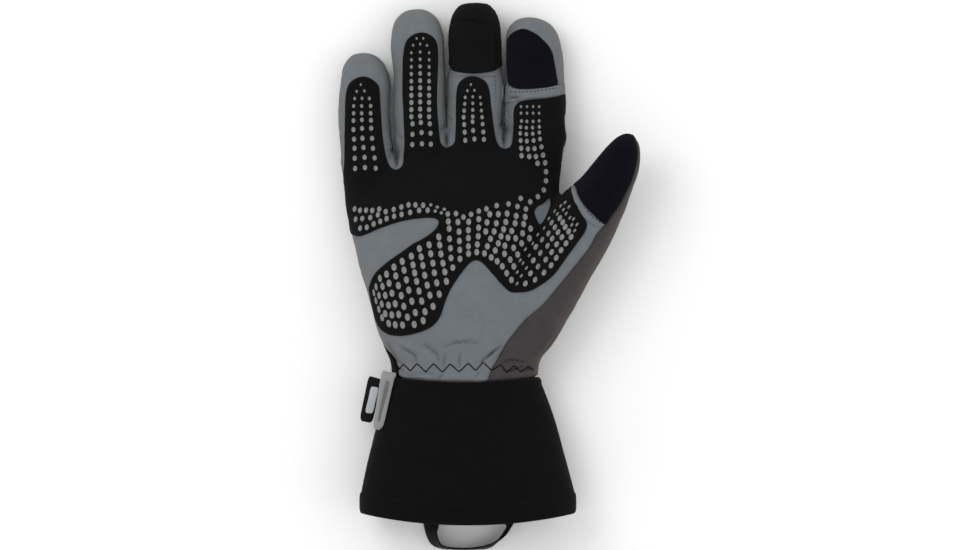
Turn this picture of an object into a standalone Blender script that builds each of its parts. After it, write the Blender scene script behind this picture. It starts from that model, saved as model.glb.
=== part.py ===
"""Insulated fishing glove for the right hand, lying on its back with the palm up.

X runs from the little finger to the thumb, Y from the cuff to the fingertips and Z up through the palm.
The origin is on the flat back of the hand, on the glove's middle line. All sizes are in metres.
"""

import math

import bmesh
import bpy
from mathutils import Vector

# Palm and wrist
PALM_LENGTH = 0.1315
PALM_THICKNESS = 0.041
PALM_SHIFT = 0.0062
WRIST_WIDTH = 0.0805
WRIST_THICKNESS = 0.039
WRIST_TO_ORIGIN = 0.0558
WRIST_BOW = 0.0027
KNUCKLE_DROP_ULNAR = 0.032
KNUCKLE_DROP_RADIAL = 0.0056
PALM_HOLLOW = 0.0035
THUMB_CREASE = 0.002

# Fingers, each from the knuckle line to its tip
PINKY_WIDTH = 0.0293
PINKY_LENGTH = 0.0674
RING_WIDTH = 0.0284
RING_LENGTH = 0.0763
MIDDLE_WIDTH = 0.0322
MIDDLE_LENGTH = 0.0750
INDEX_WIDTH = 0.0335
INDEX_LENGTH = 0.0689
FINGER_THICKNESS = 0.0265
FINGER_GAP = 0.0008
FINGERTIP_ROUND = 0.022
FINGER_ROOT = 0.026
FINGER_LIFT = 0.0004
ROOT_TAPER = 0.0035

# Thumb, from its root in the heel of the hand to its tip
THUMB_LENGTH = 0.1315
THUMB_WIDTH = 0.0363
THUMB_THICKNESS = 0.036
THUMB_ANGLE = 28.0
THUMB_ROOT_RADIAL = 0.0347
THUMB_ROOT_RISE = 0.0149
THUMB_LOW = 0.0205
THUMB_LIFT = 0.011

# Walls and the layers sewn on them
LEATHER_WALL = 0.0022
CUFF_WALL = 0.0026
CAP_WALL = 0.0014
CAP_LENGTH = 0.0398
OVERLAY = 0.0010
FINGER_PAD = 0.0008
BAND = 0.0009
SEAM_HEIGHT = 0.0115
THUMB_SEAM_DROP = 0.0020
CLEARANCE = 0.0003

# Elastic gathers at the wrist
GATHER_PITCH = 0.0095
GATHER_DEPTH = 0.0013
GATHER_REACH = 0.017

# Cuff, hem and hanging loop
CUFF_LENGTH = 0.0627
CUFF_MOUTH_WIDTH = 0.1170
CUFF_MOUTH_THICKNESS = 0.047
CUFF_BOW = 0.0060
CUFF_SHIFT = 0.0016
HEM_HEIGHT = 0.0118
HEM_PROUD = 0.0011
LOOP_WEBBING = 0.0080
LOOP_THICKNESS = 0.0012
LOOP_DROP = 0.0140
LOOP_SPAN = 0.0430
LOOP_OFFSET = 0.0030
LOOP_TUCK = 0.009
LOOP_STEPS = 14

# Labels in the little-finger side of the cuff
LABEL_START = 0.0006
LABEL_LENGTH = 0.0275
LABEL_STAND = 0.0032
LABEL_DROOP = 0.0022
LABEL_THICKNESS = 0.0010
FLAG_START = 0.0010
FLAG_LENGTH = 0.0240
FLAG_STAND = 0.0098
FLAG_THICKNESS = 0.0012
FLAG_CORNER = 0.0035

# Fineness of the facets
PALM_SIDES = 50
LINING_SIDES = 24
FINGER_SIDES = 14
LINING_FINGER_SIDES = 10
CUFF_SIDES = 32
LABEL_FACETS = 2
ROUNDNESS = 2.4
FLATTENING = 1.22
SKY = 0.2

PALM_WIDTH = PINKY_WIDTH + RING_WIDTH + MIDDLE_WIDTH + INDEX_WIDTH
ULNAR_EDGE = -PALM_SHIFT - PALM_WIDTH / 2
WRIST_Y = -WRIST_TO_ORIGIN

# Sections across the palm, from the wrist seam to the knuckle line: how far along the palm, how much of the
# spread from wrist to knuckles each side has, and the height as a share of the palm's thickness.
PALM_SECTIONS = (
    # along, ulnar, radial, high
    (0.00, 0.00, 0.00, 0.95),
    (0.03, 0.01, 0.00, 0.95),
    (0.06, 0.03, 0.02, 0.95),
    (0.10, 0.09, 0.10, 0.96),
    (0.15, 0.23, 0.25, 0.98),
    (0.26, 0.35, 0.43, 1.00),
    (0.37, 0.47, 0.61, 1.00),
    (0.47, 0.63, 0.72, 0.98),
    (0.60, 0.77, 0.79, 0.92),
    (0.74, 0.92, 0.80, 0.82),
    (0.83, 0.96, 0.84, 0.72),
    (0.92, 0.99, 0.93, 0.60),
    (1.00, 1.00, 1.00, 0.44),
)

# Each finger's bend and swell: sideways shift and width as shares of its own width, at the knuckle, at its
# middle and where its tip starts to round, and its height as a share of the finger thickness.
FINGER_FORMS = {
    # name: width, length, then (shift, width) at knuckle, middle and tip, tip shift, height
    "pinky": (PINKY_WIDTH, PINKY_LENGTH, (0.01, 1.0), (-0.035, 1.02), (-0.02, 0.99), -0.10, 0.92),
    "ring": (RING_WIDTH, RING_LENGTH, (0.02, 0.96), (0.0, 1.0), (-0.06, 1.09), -0.075, 0.97),
    "middle": (MIDDLE_WIDTH, MIDDLE_LENGTH, (0.0, 0.97), (0.0, 1.0), (-0.015, 1.0), -0.02, 1.0),
    "index": (INDEX_WIDTH, INDEX_LENGTH, (0.0, 1.02), (0.0, 1.0), (-0.01, 0.98), -0.09, 1.0),
}

# The overlay's outline, clockwise from the little finger's side: each point lies on a finger, on the palm or
# on the thumb, at shares across and along it. Points past an edge let the overlay wrap round it.
OVERLAY_OUTLINE = (
    ("pinky", 0.09, -0.04), ("pinky", 0.12, 0.49), ("pinky", 0.14, 0.71), ("pinky", 0.24, 0.77),
    ("pinky", 0.44, 0.80), ("pinky", 0.65, 0.77), ("pinky", 0.74, 0.70), ("pinky", 0.76, 0.52),
    ("pinky", 0.79, 0.26), ("palm", 0.205, 0.99), ("palm", 0.243, 0.942), ("palm", 0.275, 0.96),
    ("ring", 0.17, 0.07), ("ring", 0.15, 0.32), ("ring", 0.20, 0.55), ("ring", 0.28, 0.74),
    ("ring", 0.40, 0.81), ("ring", 0.58, 0.83), ("ring", 0.76, 0.81), ("ring", 0.85, 0.74),
    ("ring", 0.83, 0.55), ("ring", 0.81, 0.32), ("ring", 0.85, 0.07), ("palm", 0.45, 0.98),
    ("palm", 0.475, 0.966), ("palm", 0.50, 0.98), ("middle", 0.17, 0.07), ("middle", 0.14, 0.24),
    ("middle", 0.18, 0.37), ("middle", 0.29, 0.43), ("middle", 0.45, 0.45), ("middle", 0.60, 0.43),
    ("middle", 0.71, 0.37), ("middle", 0.75, 0.25), ("middle", 0.79, 0.10), ("palm", 0.70, 0.97),
    ("palm", 0.727, 0.955), ("palm", 0.758, 0.97), ("index", 0.15, 0.10), ("index", 0.15, 0.25),
    ("index", 0.22, 0.31), ("index", 0.36, 0.338), ("index", 0.68, 0.346), ("index", 1.10, 0.39),
    ("index", 1.15, 0.05), ("palm", 1.07, 0.90), ("thumb", -0.72, 0.70), ("thumb", -0.57, 0.66),
    ("thumb", -0.42, 0.625), ("thumb", -0.25, 0.60), ("thumb", -0.12, 0.575), ("thumb", -0.085, 0.54),
    ("thumb", -0.12, 0.455), ("thumb", -0.17, 0.37), ("thumb", -0.28, 0.275), ("palm", 0.88, 0.37),
    ("palm", 0.82, 0.356), ("palm", 0.766, 0.356), ("palm", 0.72, 0.38), ("palm", 0.67, 0.43),
    ("palm", 0.62, 0.475), ("palm", 0.589, 0.488), ("palm", 0.55, 0.475), ("palm", 0.487, 0.415),
    ("palm", 0.437, 0.364), ("palm", 0.403, 0.30), ("palm", 0.365, 0.245), ("palm", 0.30, 0.205),
    ("palm", 0.21, 0.183), ("palm", 0.11, 0.178), ("palm", 0.05, 0.19), ("palm", 0.015, 0.23),
    ("palm", 0.007, 0.29), ("palm", 0.012, 0.36), ("palm", 0.03, 0.43), ("palm", 0.089, 0.485),
    ("palm", 0.17, 0.525), ("palm", 0.28, 0.577), ("palm", 0.374, 0.615), ("palm", 0.415, 0.64),
    ("palm", 0.42, 0.665), ("palm", 0.395, 0.68), ("palm", 0.30, 0.687), ("palm", 0.20, 0.688),
    ("palm", 0.11, 0.678), ("palm", 0.055, 0.684), ("palm", 0.02, 0.72), ("palm", -0.04, 0.76),
    ("palm", -0.04, 0.94),
)
# The bare leather left open in the overlay at the root of the thumb.
ISLAND_OUTLINE = (
    ("palm", 0.945, 0.755), ("palm", 0.95, 0.725), ("palm", 0.935, 0.695), ("palm", 0.91, 0.65),
    ("palm", 0.893, 0.65), ("palm", 0.876, 0.69), ("palm", 0.886, 0.718), ("palm", 0.92, 0.737),
)
INDEX_PAD_OUTLINE = (
    ("index", 0.07, 0.48), ("index", 0.12, 0.442), ("index", 0.30, 0.43), ("index", 0.60, 0.44),
    ("index", 0.83, 0.462), ("index", 0.83, 0.55), ("index", 0.80, 0.67), ("index", 0.74, 0.76),
    ("index", 0.63, 0.84), ("index", 0.50, 0.885), ("index", 0.375, 0.90), ("index", 0.22, 0.88),
    ("index", 0.09, 0.82), ("index", 0.05, 0.70),
)
INDEX_BAND_OUTLINE = (
    ("index", 0.05, 0.42), ("index", 0.05, 0.37), ("index", 0.36, 0.364), ("index", 0.68, 0.374),
    ("index", 1.10, 0.425), ("index", 1.10, 0.48), ("index", 0.87, 0.446), ("index", 0.60, 0.425),
    ("index", 0.30, 0.414), ("index", 0.14, 0.424),
)
THUMB_PAD_OUTLINE = (
    ("thumb", -0.60, 0.69), ("thumb", -0.43, 0.665), ("thumb", -0.29, 0.64), ("thumb", -0.10, 0.622),
    ("thumb", 0.10, 0.625), ("thumb", 0.15, 0.70), ("thumb", 0.15, 0.80), ("thumb", 0.10, 0.885),
    ("thumb", 0.03, 0.93), ("thumb", -0.03, 1.02), ("thumb", -0.30, 1.08), ("thumb", -0.60, 0.95),
    ("thumb", -0.70, 0.80),
)
THUMB_BAND_OUTLINE = (
    ("thumb", -0.60, 0.680), ("thumb", -0.42, 0.648), ("thumb", -0.26, 0.62), ("thumb", -0.10, 0.608),
    ("thumb", 0.13, 0.609), ("thumb", 0.05, 0.585), ("thumb", -0.08, 0.588), ("thumb", -0.23, 0.612),
    ("thumb", -0.40, 0.638), ("thumb", -0.58, 0.669),
)
# The seam between the gray leather and the charcoal panel, from the thumb's tip to the wrist.
CHARCOAL_SEAM = (
    ("thumb", -0.20, 1.30), ("thumb", -0.09, 1.00), ("thumb", 0.03, 0.945), ("thumb", 0.10, 0.90),
    ("thumb", 0.155, 0.82), ("thumb", 0.165, 0.74), ("thumb", 0.14, 0.65), ("thumb", 0.10, 0.575),
    ("thumb", 0.09, 0.50), ("thumb", 0.03, 0.41), ("thumb", -0.03, 0.327), ("thumb", -0.13, 0.20),
    ("thumb", -0.24, 0.115), ("thumb", -0.31, 0.02), ("thumb", -0.345, -0.07), ("thumb", -0.35, -0.15),
    ("thumb", -0.33, -0.30), ("thumb", 0.90, -0.30), ("thumb", 0.90, 1.30),
)

# The rounding of a fingertip: distance back from the tip as a share of the rounded length, and the share of
# the full width and height there.
TIP_SECTIONS = (
    # back, wide, high
    (1.00, 1.00, 1.00),
    (0.65, 0.97, 0.97),
    (0.40, 0.90, 0.91),
    (0.20, 0.74, 0.78),
    (0.08, 0.54, 0.60),
    (0.00, 0.30, 0.36),
)

# Sections across the thumb: along its axis, its two sides as shares of the thumb's width, and the height as a
# share of its thickness.
THUMB_SECTIONS = (
    # along, ulnar, radial, high
    (-0.02, -0.20, 0.20, 0.50),
    (0.11, -0.34, 0.29, 0.88),
    (0.22, -0.46, 0.32, 1.00),
    (0.35, -0.60, 0.32, 1.04),
    (0.49, -0.69, 0.34, 1.00),
    (0.61, -0.66, 0.34, 0.93),
    (0.69, -0.545, 0.31, 0.87),
    (0.78, -0.48, 0.265, 0.81),
    (0.86, -0.42, 0.225, 0.74),
    (0.92, -0.365, 0.155, 0.64),
    (0.965, -0.31, 0.06, 0.46),
    (0.995, -0.22, -0.06, 0.22),
)


def material(name, colour, roughness):
    """A plain surface of one colour."""
    made = bpy.data.materials.new(name)
    made.use_nodes = True
    shader = made.node_tree.nodes["Principled BSDF"]
    shader.inputs["Base Color"].default_value = (*colour, 1.0)
    shader.inputs["Roughness"].default_value = roughness
    shader.inputs["Metallic"].default_value = 0.0
    return made


def mix(a, b, share):
    return a + (b - a) * share


def smooth(share):
    share = min(1.0, max(0.0, share))
    return share * share * (3 - 2 * share)


def between(rows, at, column):
    """The value of a table's column at a place along it, read between its rows."""
    if at <= rows[0][0]:
        return rows[0][column]
    for low, high in zip(rows, rows[1:]):
        if at <= high[0]:
            return mix(low[column], high[column], (at - low[0]) / (high[0] - low[0]))
    return rows[-1][column]


def finger_slot(name):
    """The middle of a finger's place on the knuckle line, measured from the palm's little-finger edge."""
    start = 0.0
    for other, form in FINGER_FORMS.items():
        if other == name:
            return start + form[0] / 2
        start += form[0]
    return start


def knuckle_y(across):
    """The knuckle line, which falls away to both sides of the middle finger."""
    top = finger_slot("middle") / PALM_WIDTH
    if across < top:
        drop = KNUCKLE_DROP_ULNAR * ((top - across) / top) ** 2
    else:
        drop = KNUCKLE_DROP_RADIAL * ((across - top) / (1 - top)) ** 2
    return WRIST_Y + PALM_LENGTH - drop


def palm_sides(along):
    """The palm's two edges at a place along it."""
    ulnar = mix(-WRIST_WIDTH / 2, ULNAR_EDGE, between(PALM_SECTIONS, along, 1))
    radial = mix(WRIST_WIDTH / 2, ULNAR_EDGE + PALM_WIDTH, between(PALM_SECTIONS, along, 2))
    return ulnar, radial


def palm_point(across, along):
    """Plan position of a point of the palm, given as shares across it and along it."""
    ulnar, radial = palm_sides(along)
    bow = WRIST_BOW * (1 - (2 * across - 1) ** 2) * (1 - smooth(along / 0.2))
    level = mix(WRIST_Y, WRIST_Y + PALM_LENGTH, along)
    drop = (WRIST_Y + PALM_LENGTH - knuckle_y(across)) * max(along, 0.0) ** 2
    return Vector((mix(ulnar, radial, across), level - bow - drop))


def finger_point(name, across, along):
    """Plan position of a point of a finger: along is 0 at the knuckle line and 1 at the tip."""
    width, length, knuckle, middle, tip, tip_shift, _ = FINGER_FORMS[name]
    centre = ULNAR_EDGE + finger_slot(name)
    start = knuckle_y(finger_slot(name) / PALM_WIDTH)
    round_start = 1 - FINGERTIP_ROUND / length
    rows = ((0.0, *knuckle), (0.4, *middle), (round_start, *tip), (1.0, tip_shift, tip[1]))
    shift = between(rows, along, 1)
    wide = between(rows, along, 2)
    x = centre + width * (shift + (across - 0.5) * wide)
    return Vector((x, start + along * length))


THUMB_AXIS = Vector((math.sin(math.radians(THUMB_ANGLE)), math.cos(math.radians(THUMB_ANGLE))))
THUMB_SIDE = Vector((THUMB_AXIS.y, -THUMB_AXIS.x))
THUMB_ROOT = Vector((THUMB_ROOT_RADIAL, WRIST_Y + THUMB_ROOT_RISE))


def thumb_point(across, along):
    """Plan position of a point of the thumb: across in thumb widths from its axis, along from its root."""
    return THUMB_ROOT + THUMB_AXIS * (THUMB_LENGTH * along) + THUMB_SIDE * (THUMB_WIDTH * across)


def relief(x, y):
    """How far the palm's upper surface sinks: the hollow of the palm and the crease beside the thumb."""
    centre = palm_point(0.42, 0.52)
    reach = Vector((0.20 * PALM_WIDTH, 0.16 * PALM_LENGTH))
    fall = ((x - centre.x) / reach.x) ** 2 + ((y - centre.y) / reach.y) ** 2
    start = palm_point(0.93, 0.63)
    end = palm_point(0.72, 0.33)
    line = end - start
    spot = Vector((x, y)) - start
    share = spot.dot(line) / line.length_squared
    off = abs(spot.x * line.y - spot.y * line.x) / line.length
    crease = math.exp(-((off / (0.045 * PALM_WIDTH)) ** 2))
    crease *= smooth(share * 4 + 1) * smooth((1.3 - share) * 3)
    return PALM_HOLLOW * math.exp(-fall) + THUMB_CREASE * crease


def section(sides, ulnar, radial, low, high):
    """One ring across a tube: a full, round upper side and a flattened lower one, as (x, z) pairs."""
    centre = (ulnar + radial) / 2
    half = (radial - ulnar) / 2
    middle = (low + high) / 2
    ring = []
    for step in range(sides):
        angle = 2 * math.pi * (step + 0.5) / sides
        c = math.copysign(abs(math.cos(angle)) ** (2 / ROUNDNESS), math.cos(angle))
        s = abs(math.sin(angle)) ** (2 / ROUNDNESS)
        if math.sin(angle) > 0:
            z = middle + (high - middle) * s
        else:
            z = middle - (middle - low) * min(1.0, FLATTENING * s)
        ring.append((centre + half * c, z))
    return ring


def loft(name, rings):
    """A closed tube through rings of points, with both ends filled."""
    mesh = bmesh.new()
    rows = [[mesh.verts.new(point) for point in ring] for ring in rings]
    count = len(rows[0])
    for low, high in zip(rows, rows[1:]):
        for k in range(count):
            n = (k + 1) % count
            mesh.faces.new((low[k], high[k], high[n], low[n]))
    for row in (rows[0], rows[-1]):
        centre = mesh.verts.new(sum((vert.co for vert in row), Vector()) / count)
        for k in range(count):
            mesh.faces.new((row[k], row[(k + 1) % count], centre))
    return finished(name, mesh)


def finished(name, mesh):
    """An object made from a bmesh, split into triangles with its faces pointing out."""
    bmesh.ops.triangulate(mesh, faces=[face for face in mesh.faces if len(face.verts) > 3])
    bmesh.ops.recalc_face_normals(mesh, faces=mesh.faces)
    if mesh.calc_volume(signed=True) < 0:
        bmesh.ops.reverse_faces(mesh, faces=mesh.faces)
    data = bpy.data.meshes.new(name)
    mesh.to_mesh(data)
    mesh.free()
    obj = bpy.data.objects.new(name, data)
    bpy.context.scene.collection.objects.link(obj)
    return obj


def discard(obj):
    """Removes a helper object and its mesh."""
    data = obj.data
    bpy.data.objects.remove(obj)
    bpy.data.meshes.remove(data)


def combine(base, others, operation):
    """Joins, cuts or crosses a solid with each of the others, which are used up."""
    for other in others:
        modifier = base.modifiers.new("combine", "BOOLEAN")
        modifier.operation = operation
        modifier.solver = "EXACT"
        modifier.object = other
        graph = bpy.context.evaluated_depsgraph_get()
        result = bpy.data.meshes.new_from_object(base.evaluated_get(graph))
        base.modifiers.remove(modifier)
        before = base.data
        base.data = result
        bpy.data.meshes.remove(before)
        discard(other)
    return base


def copy_of(obj, name):
    data = obj.data.copy()
    made = bpy.data.objects.new(name, data)
    bpy.context.scene.collection.objects.link(made)
    return made


def gather(x, y, sides_at):
    """The elastic's folds: 0 on a ridge and up to the gather depth in a valley, fading into the palm."""
    rise = y - WRIST_Y
    fade = 1 - smooth(rise / GATHER_REACH)
    wave = 0.5 - 0.5 * math.cos(2 * math.pi * (x - sides_at) / GATHER_PITCH)
    return GATHER_DEPTH * fade * wave


def palm_tube(name, grow, sides, gathered):
    """The body of the hand, grown outwards or, as a negative size, inwards for its lining."""
    rings = []
    alongs = [row[0] for row in PALM_SECTIONS]
    if grow < 0:
        alongs[0] = -0.02
    for along in alongs:
        ulnar, radial = palm_sides(along)
        thick = mix(WRIST_THICKNESS, PALM_THICKNESS, smooth(along / 0.3))
        high = thick * between(PALM_SECTIONS, along, 3)
        tuck = 0.0 if gathered else GATHER_DEPTH * (1 - smooth(along * PALM_LENGTH / GATHER_REACH))
        size = grow - (tuck if grow < 0 else 0.0)
        low = max(0.0, -grow)
        ring = []
        for x, z in section(sides, ulnar - size, radial + size, low, high + size):
            across = (x - ulnar) / (radial - ulnar)
            y = palm_point(across, along).y
            if along == alongs[-1]:
                y += grow
            lift = (z - low) / (high + size - low)
            if gathered:
                fold = gather(x, y, ulnar)
                x += fold * (0.5 - across) * 0.6
                z -= fold * lift
            z -= relief(x, y) * smooth((lift - 0.5) * 2.5)
            ring.append(Vector((x, y, z)))
        rings.append(ring)
    return loft(name, rings)


def finger_sizes(name, along, grow):
    """A finger's edges and height at a place along it."""
    length = FINGER_FORMS[name][1]
    back = (1 - along) * length / FINGERTIP_ROUND
    wide = between(TIP_SECTIONS[::-1], back, 1)
    high = between(TIP_SECTIONS[::-1], back, 2)
    edges = [finger_point(name, across, along).x for across in (0.0, 1.0)]
    centre = sum(edges) / 2
    half = (edges[1] - edges[0] - FINGER_GAP) / 2 * wide + grow
    return centre - half, centre + half, high * FINGER_FORMS[name][6] * FINGER_THICKNESS


def finger_tube(name, grow, sides, start=None, tuck_from=None, tuck=0.0):
    """A finger as a closed tube from inside the palm, or from start, to its tip.

    Where a cap covers it, beyond tuck_from, it is thinner.
    """
    length = FINGER_FORMS[name][1]
    root = -FINGER_ROOT / length if start is None else start
    round_start = 1 - FINGERTIP_ROUND / length
    stations = [root, 0.0, 0.2, 0.4] if start is None else [root]
    stations += [1 - row[0] * FINGERTIP_ROUND / length for row in TIP_SECTIONS]
    if tuck_from is not None:
        edge = 0.5 * CLEARANCE / length
        stations = [at for at in stations if abs(at - tuck_from) > 0.03]
        stations += [tuck_from - edge, tuck_from + edge]
    rings = []
    for along in sorted(stations):
        inner = grow - (tuck if tuck_from is not None and along > tuck_from else 0.0)
        sunk = ROOT_TAPER * min(1.0, max(0.0, -along * length / FINGER_ROOT))
        ulnar, radial, high = finger_sizes(name, along, inner)
        low = FINGER_LIFT + max(0.0, -inner) + sunk
        middle = 0.5 * FINGER_FORMS[name][6] * FINGER_THICKNESS
        share = high / (2 * middle)
        if along > round_start:
            low = max(low, middle * (1 - share) * 0.8 - inner)
            high = middle + high / 2
        top = high + inner - 2 * sunk
        y = finger_point(name, 0.5, along).y + (inner if along == max(stations) else 0.0)
        ring = [Vector((x, y, z)) for x, z in section(sides, ulnar + sunk, radial - sunk, low, top)]
        rings.append(ring)
    return loft(name, rings)


def thumb_middle(along):
    """Height of the thumb's axis, which lifts towards the palm side."""
    return THUMB_LOW + THUMB_LIFT * max(0.0, along) ** 1.5


def thumb_tube(name, grow, sides):
    """The thumb as a closed tube from its root inside the heel of the hand to its tip."""
    rings = []
    for along, ulnar, radial, thick in THUMB_SECTIONS:
        high = thumb_middle(along) + 0.5 * thick * THUMB_THICKNESS
        low = max(0.0, thumb_middle(along) - 0.5 * thick * THUMB_THICKNESS - max(grow, 0.0)) + max(0.0, -grow)
        low = max(low, 2 * CLEARANCE + max(0.0, -grow))
        tip = grow if along == THUMB_SECTIONS[-1][0] else 0.0
        ring = []
        for w, z in section(sides, ulnar * THUMB_WIDTH - grow, radial * THUMB_WIDTH + grow, low, high + grow):
            spot = thumb_point(w / THUMB_WIDTH, along) + THUMB_AXIS * tip
            sink = relief(spot.x, spot.y) * smooth((z - low) / (high - low))
            ring.append(Vector((spot.x, spot.y, z - sink)))
        rings.append(ring)
    return loft(name, rings)


def hand_body(name, grow, palm_facets, finger_facets, gathered=False, capped=False):
    """The whole hand as one closed body: palm, four fingers and thumb joined."""
    body = palm_tube(name, grow, palm_facets, gathered)
    pieces = []
    for finger in FINGER_FORMS:
        cap_from = 1 - CAP_LENGTH / MIDDLE_LENGTH if capped and finger == "middle" else None
        pieces.append(finger_tube(finger, grow, finger_facets, None, cap_from, CAP_WALL + CLEARANCE))
    pieces.append(thumb_tube("thumb", grow, finger_facets))
    return combine(body, pieces, "UNION")


def plan_point(part, across, along):
    """Plan position of a point given on the palm, the thumb or a finger."""
    if part == "palm":
        return palm_point(across, along)
    if part == "thumb":
        return thumb_point(across, along)
    return finger_point(part, across, along)


def outline_of(rows, steps, shift=0.0):
    """A closed plan outline through the rows of a table, curved between them when steps is over 1."""
    points = [plan_point(*row) + Vector((shift, 0.0)) for row in rows]
    count = len(points)
    made = []
    for k in range(count):
        a, b, c, d = (points[(k + n) % count] for n in (-1, 0, 1, 2))
        for step in range(steps):
            t = step / steps
            bend = (2 * a - 5 * b + 4 * c - d) * t * t + (3 * b - a - 3 * c + d) * t ** 3
            made.append(0.5 * (2 * b + (c - a) * t + bend))
    return made


def prism(name, outline, low, high):
    """An upright block over a plan outline."""
    mesh = bmesh.new()
    bottom = [mesh.verts.new((x, y, low)) for x, y in outline]
    top = [mesh.verts.new((x, y, high)) for x, y in outline]
    mesh.faces.new(bottom)
    mesh.faces.new(list(reversed(top)))
    for k in range(len(bottom)):
        n = (k + 1) % len(bottom)
        mesh.faces.new((bottom[k], top[k], top[n], bottom[n]))
    return finished(name, mesh)


def back_zone(name, rise):
    """The space behind the side seam, which runs level round the hand and climbs along the thumb."""
    far = 2 * (PALM_LENGTH + CUFF_LENGTH)
    flat = [Vector((x, y)) for x, y in ((-far, -far), (far, -far), (far, far), (-far, far))]
    zone = prism(name, flat, -SKY, SEAM_HEIGHT + rise)
    rings = []
    for along in (0.40, 0.70, 1.30):
        top = mix(SEAM_HEIGHT, thumb_middle(1.0), (along - 0.40) / 0.60) - THUMB_SEAM_DROP + rise
        (x0, y0), (x1, y1) = (thumb_point(across, along) for across in (-0.66, 0.9))
        low = THUMB_SEAM_DROP
        corners = (x0, y0, low), (x1, y1, low), (x1, y1, top), (x0, y0, top)
        rings.append([Vector(corner) for corner in corners])
    return combine(zone, [loft("thumb_back", rings)], "UNION")


def largest_body(obj):
    """Drops crumbs that a cut leaves beside the piece itself."""
    mesh = bmesh.new()
    mesh.from_mesh(obj.data)
    left = set(mesh.verts)
    bodies = []
    while left:
        reached = {left.pop()}
        edge = list(reached)
        while edge:
            vert = edge.pop()
            for link in vert.link_edges:
                other = link.other_vert(vert)
                if other in left:
                    left.discard(other)
                    reached.add(other)
                    edge.append(other)
        bodies.append(reached)
    bodies.sort(key=len)
    for crumb in bodies[:-1]:
        bmesh.ops.delete(mesh, geom=list(crumb), context="VERTS")
    mesh.to_mesh(obj.data)
    mesh.free()


def finish_piece(obj, surface):
    """Gives a piece its material and smooth shading."""
    largest_body(obj)
    obj.data.materials.clear()
    obj.data.materials.append(surface)
    obj.data.shade_smooth()
    obj.data.set_sharp_from_angle(angle=math.radians(35))


def layer(name, body, outline, low, under):
    """A thin piece sewn on the glove: the grown body inside the outline, less the body under it."""
    combine(body, [prism("outline", outline, low, SKY)], "INTERSECT")
    combine(body, [under], "DIFFERENCE")
    body.name = name
    return body


def sleeve(name, outer, inner):
    """An open-ended tube wall between outer and inner rings."""
    mesh = bmesh.new()
    rows = [[mesh.verts.new(point) for point in ring] for ring in outer + inner[::-1]]
    count = len(rows[0])
    for k, low in enumerate(rows):
        high = rows[(k + 1) % len(rows)]
        for n in range(count):
            m = (n + 1) % count
            mesh.faces.new((low[n], high[n], high[m], low[m]))
    return finished(name, mesh)


def cuff_ring(along, grow, below=0.0):
    """One ring of the cuff: along is 0 at the wrist seam and 1 at the hem."""
    half = mix(WRIST_WIDTH, CUFF_MOUTH_WIDTH, along) / 2 + grow
    centre = CUFF_SHIFT * along
    high = mix(0.95 * WRIST_THICKNESS, CUFF_MOUTH_THICKNESS, along)
    low = max(0.0, -grow)
    ring = []
    for x, z in section(CUFF_SIDES, centre - half, centre + half, low, high + grow):
        bow = mix(WRIST_BOW, CUFF_BOW, along) * (1 - ((x - centre) / half) ** 2)
        ring.append(Vector((x, WRIST_Y - CLEARANCE - CUFF_LENGTH * along - below - bow, z)))
    return ring


def cuff_edge(along):
    """The cuff's edge on the little-finger side, where its side seam runs."""
    return CUFF_SHIFT * along - mix(WRIST_WIDTH, CUFF_MOUTH_WIDTH, along) / 2


def strip(name, centres, sides, thickness_ways, width, thickness):
    """A flat strap through centre points, with its width and thickness directions given at each."""
    rings = []
    for centre, side, up in zip(centres, sides, thickness_ways):
        a = side * (width / 2)
        b = up * (thickness / 2)
        rings.append([centre - a - b, centre + a - b, centre + a + b, centre - a + b])
    return loft(name, rings)


def side_flag(name, level):
    """The stiff flag: a flat plate that stands out of the cuff's side seam, its outer corners cut off."""
    edges = []
    for share in (0.0, FLAG_CORNER / FLAG_LENGTH, 1 - FLAG_CORNER / FLAG_LENGTH, 1.0):
        along = (FLAG_START + share * FLAG_LENGTH) / CUFF_LENGTH
        cut = FLAG_CORNER if share in (0.0, 1.0) else 0.0
        inner = cuff_edge(along) - 2 * CLEARANCE
        edges.append((inner, inner - FLAG_STAND + cut, WRIST_Y - CUFF_LENGTH * along))
    rings = []
    for inner, outer, y in edges:
        low, high = level, level + FLAG_THICKNESS
        corners = (outer, y, low), (inner, y, low), (inner, y, high), (outer, y, high)
        rings.append([Vector(corner) for corner in corners])
    return loft(name, rings)


def flank_label(name):
    """The soft label: it lies on the cuff's upper side, over the side seam, and its free edge stands off."""
    seam = CUFF_SIDES // 2 - 1
    rings = []
    for share in (0.0, 0.5, 1.0):
        along = (LABEL_START + share * LABEL_LENGTH) / CUFF_LENGTH
        under = cuff_ring(along, CLEARANCE)[seam - LABEL_FACETS : seam + 1]
        over = cuff_ring(along, CLEARANCE + LABEL_THICKNESS)[seam - LABEL_FACETS : seam + 1]
        free = under[-1] + Vector((-LABEL_STAND, 0.0, -LABEL_DROOP))
        tip = free + Vector((0.0, 0.0, LABEL_THICKNESS))
        rings.append([*under, free, tip, *over[::-1]])
    return loft(name, rings)


for startup in list(bpy.data.objects):
    bpy.data.objects.remove(startup)

gray = material("gray_leather", (0.16, 0.17, 0.18), 0.7)
charcoal = material("charcoal_cloth", (0.06, 0.055, 0.06), 0.8)
softshell = material("black_softshell", (0.008, 0.008, 0.009), 0.8)
overlay_black = material("overlay_black", (0.007, 0.007, 0.008), 0.6)
pad_black = material("pad_black", (0.006, 0.005, 0.006), 0.9)
label_gray = material("label_gray", (0.30, 0.31, 0.30), 0.8)

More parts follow.
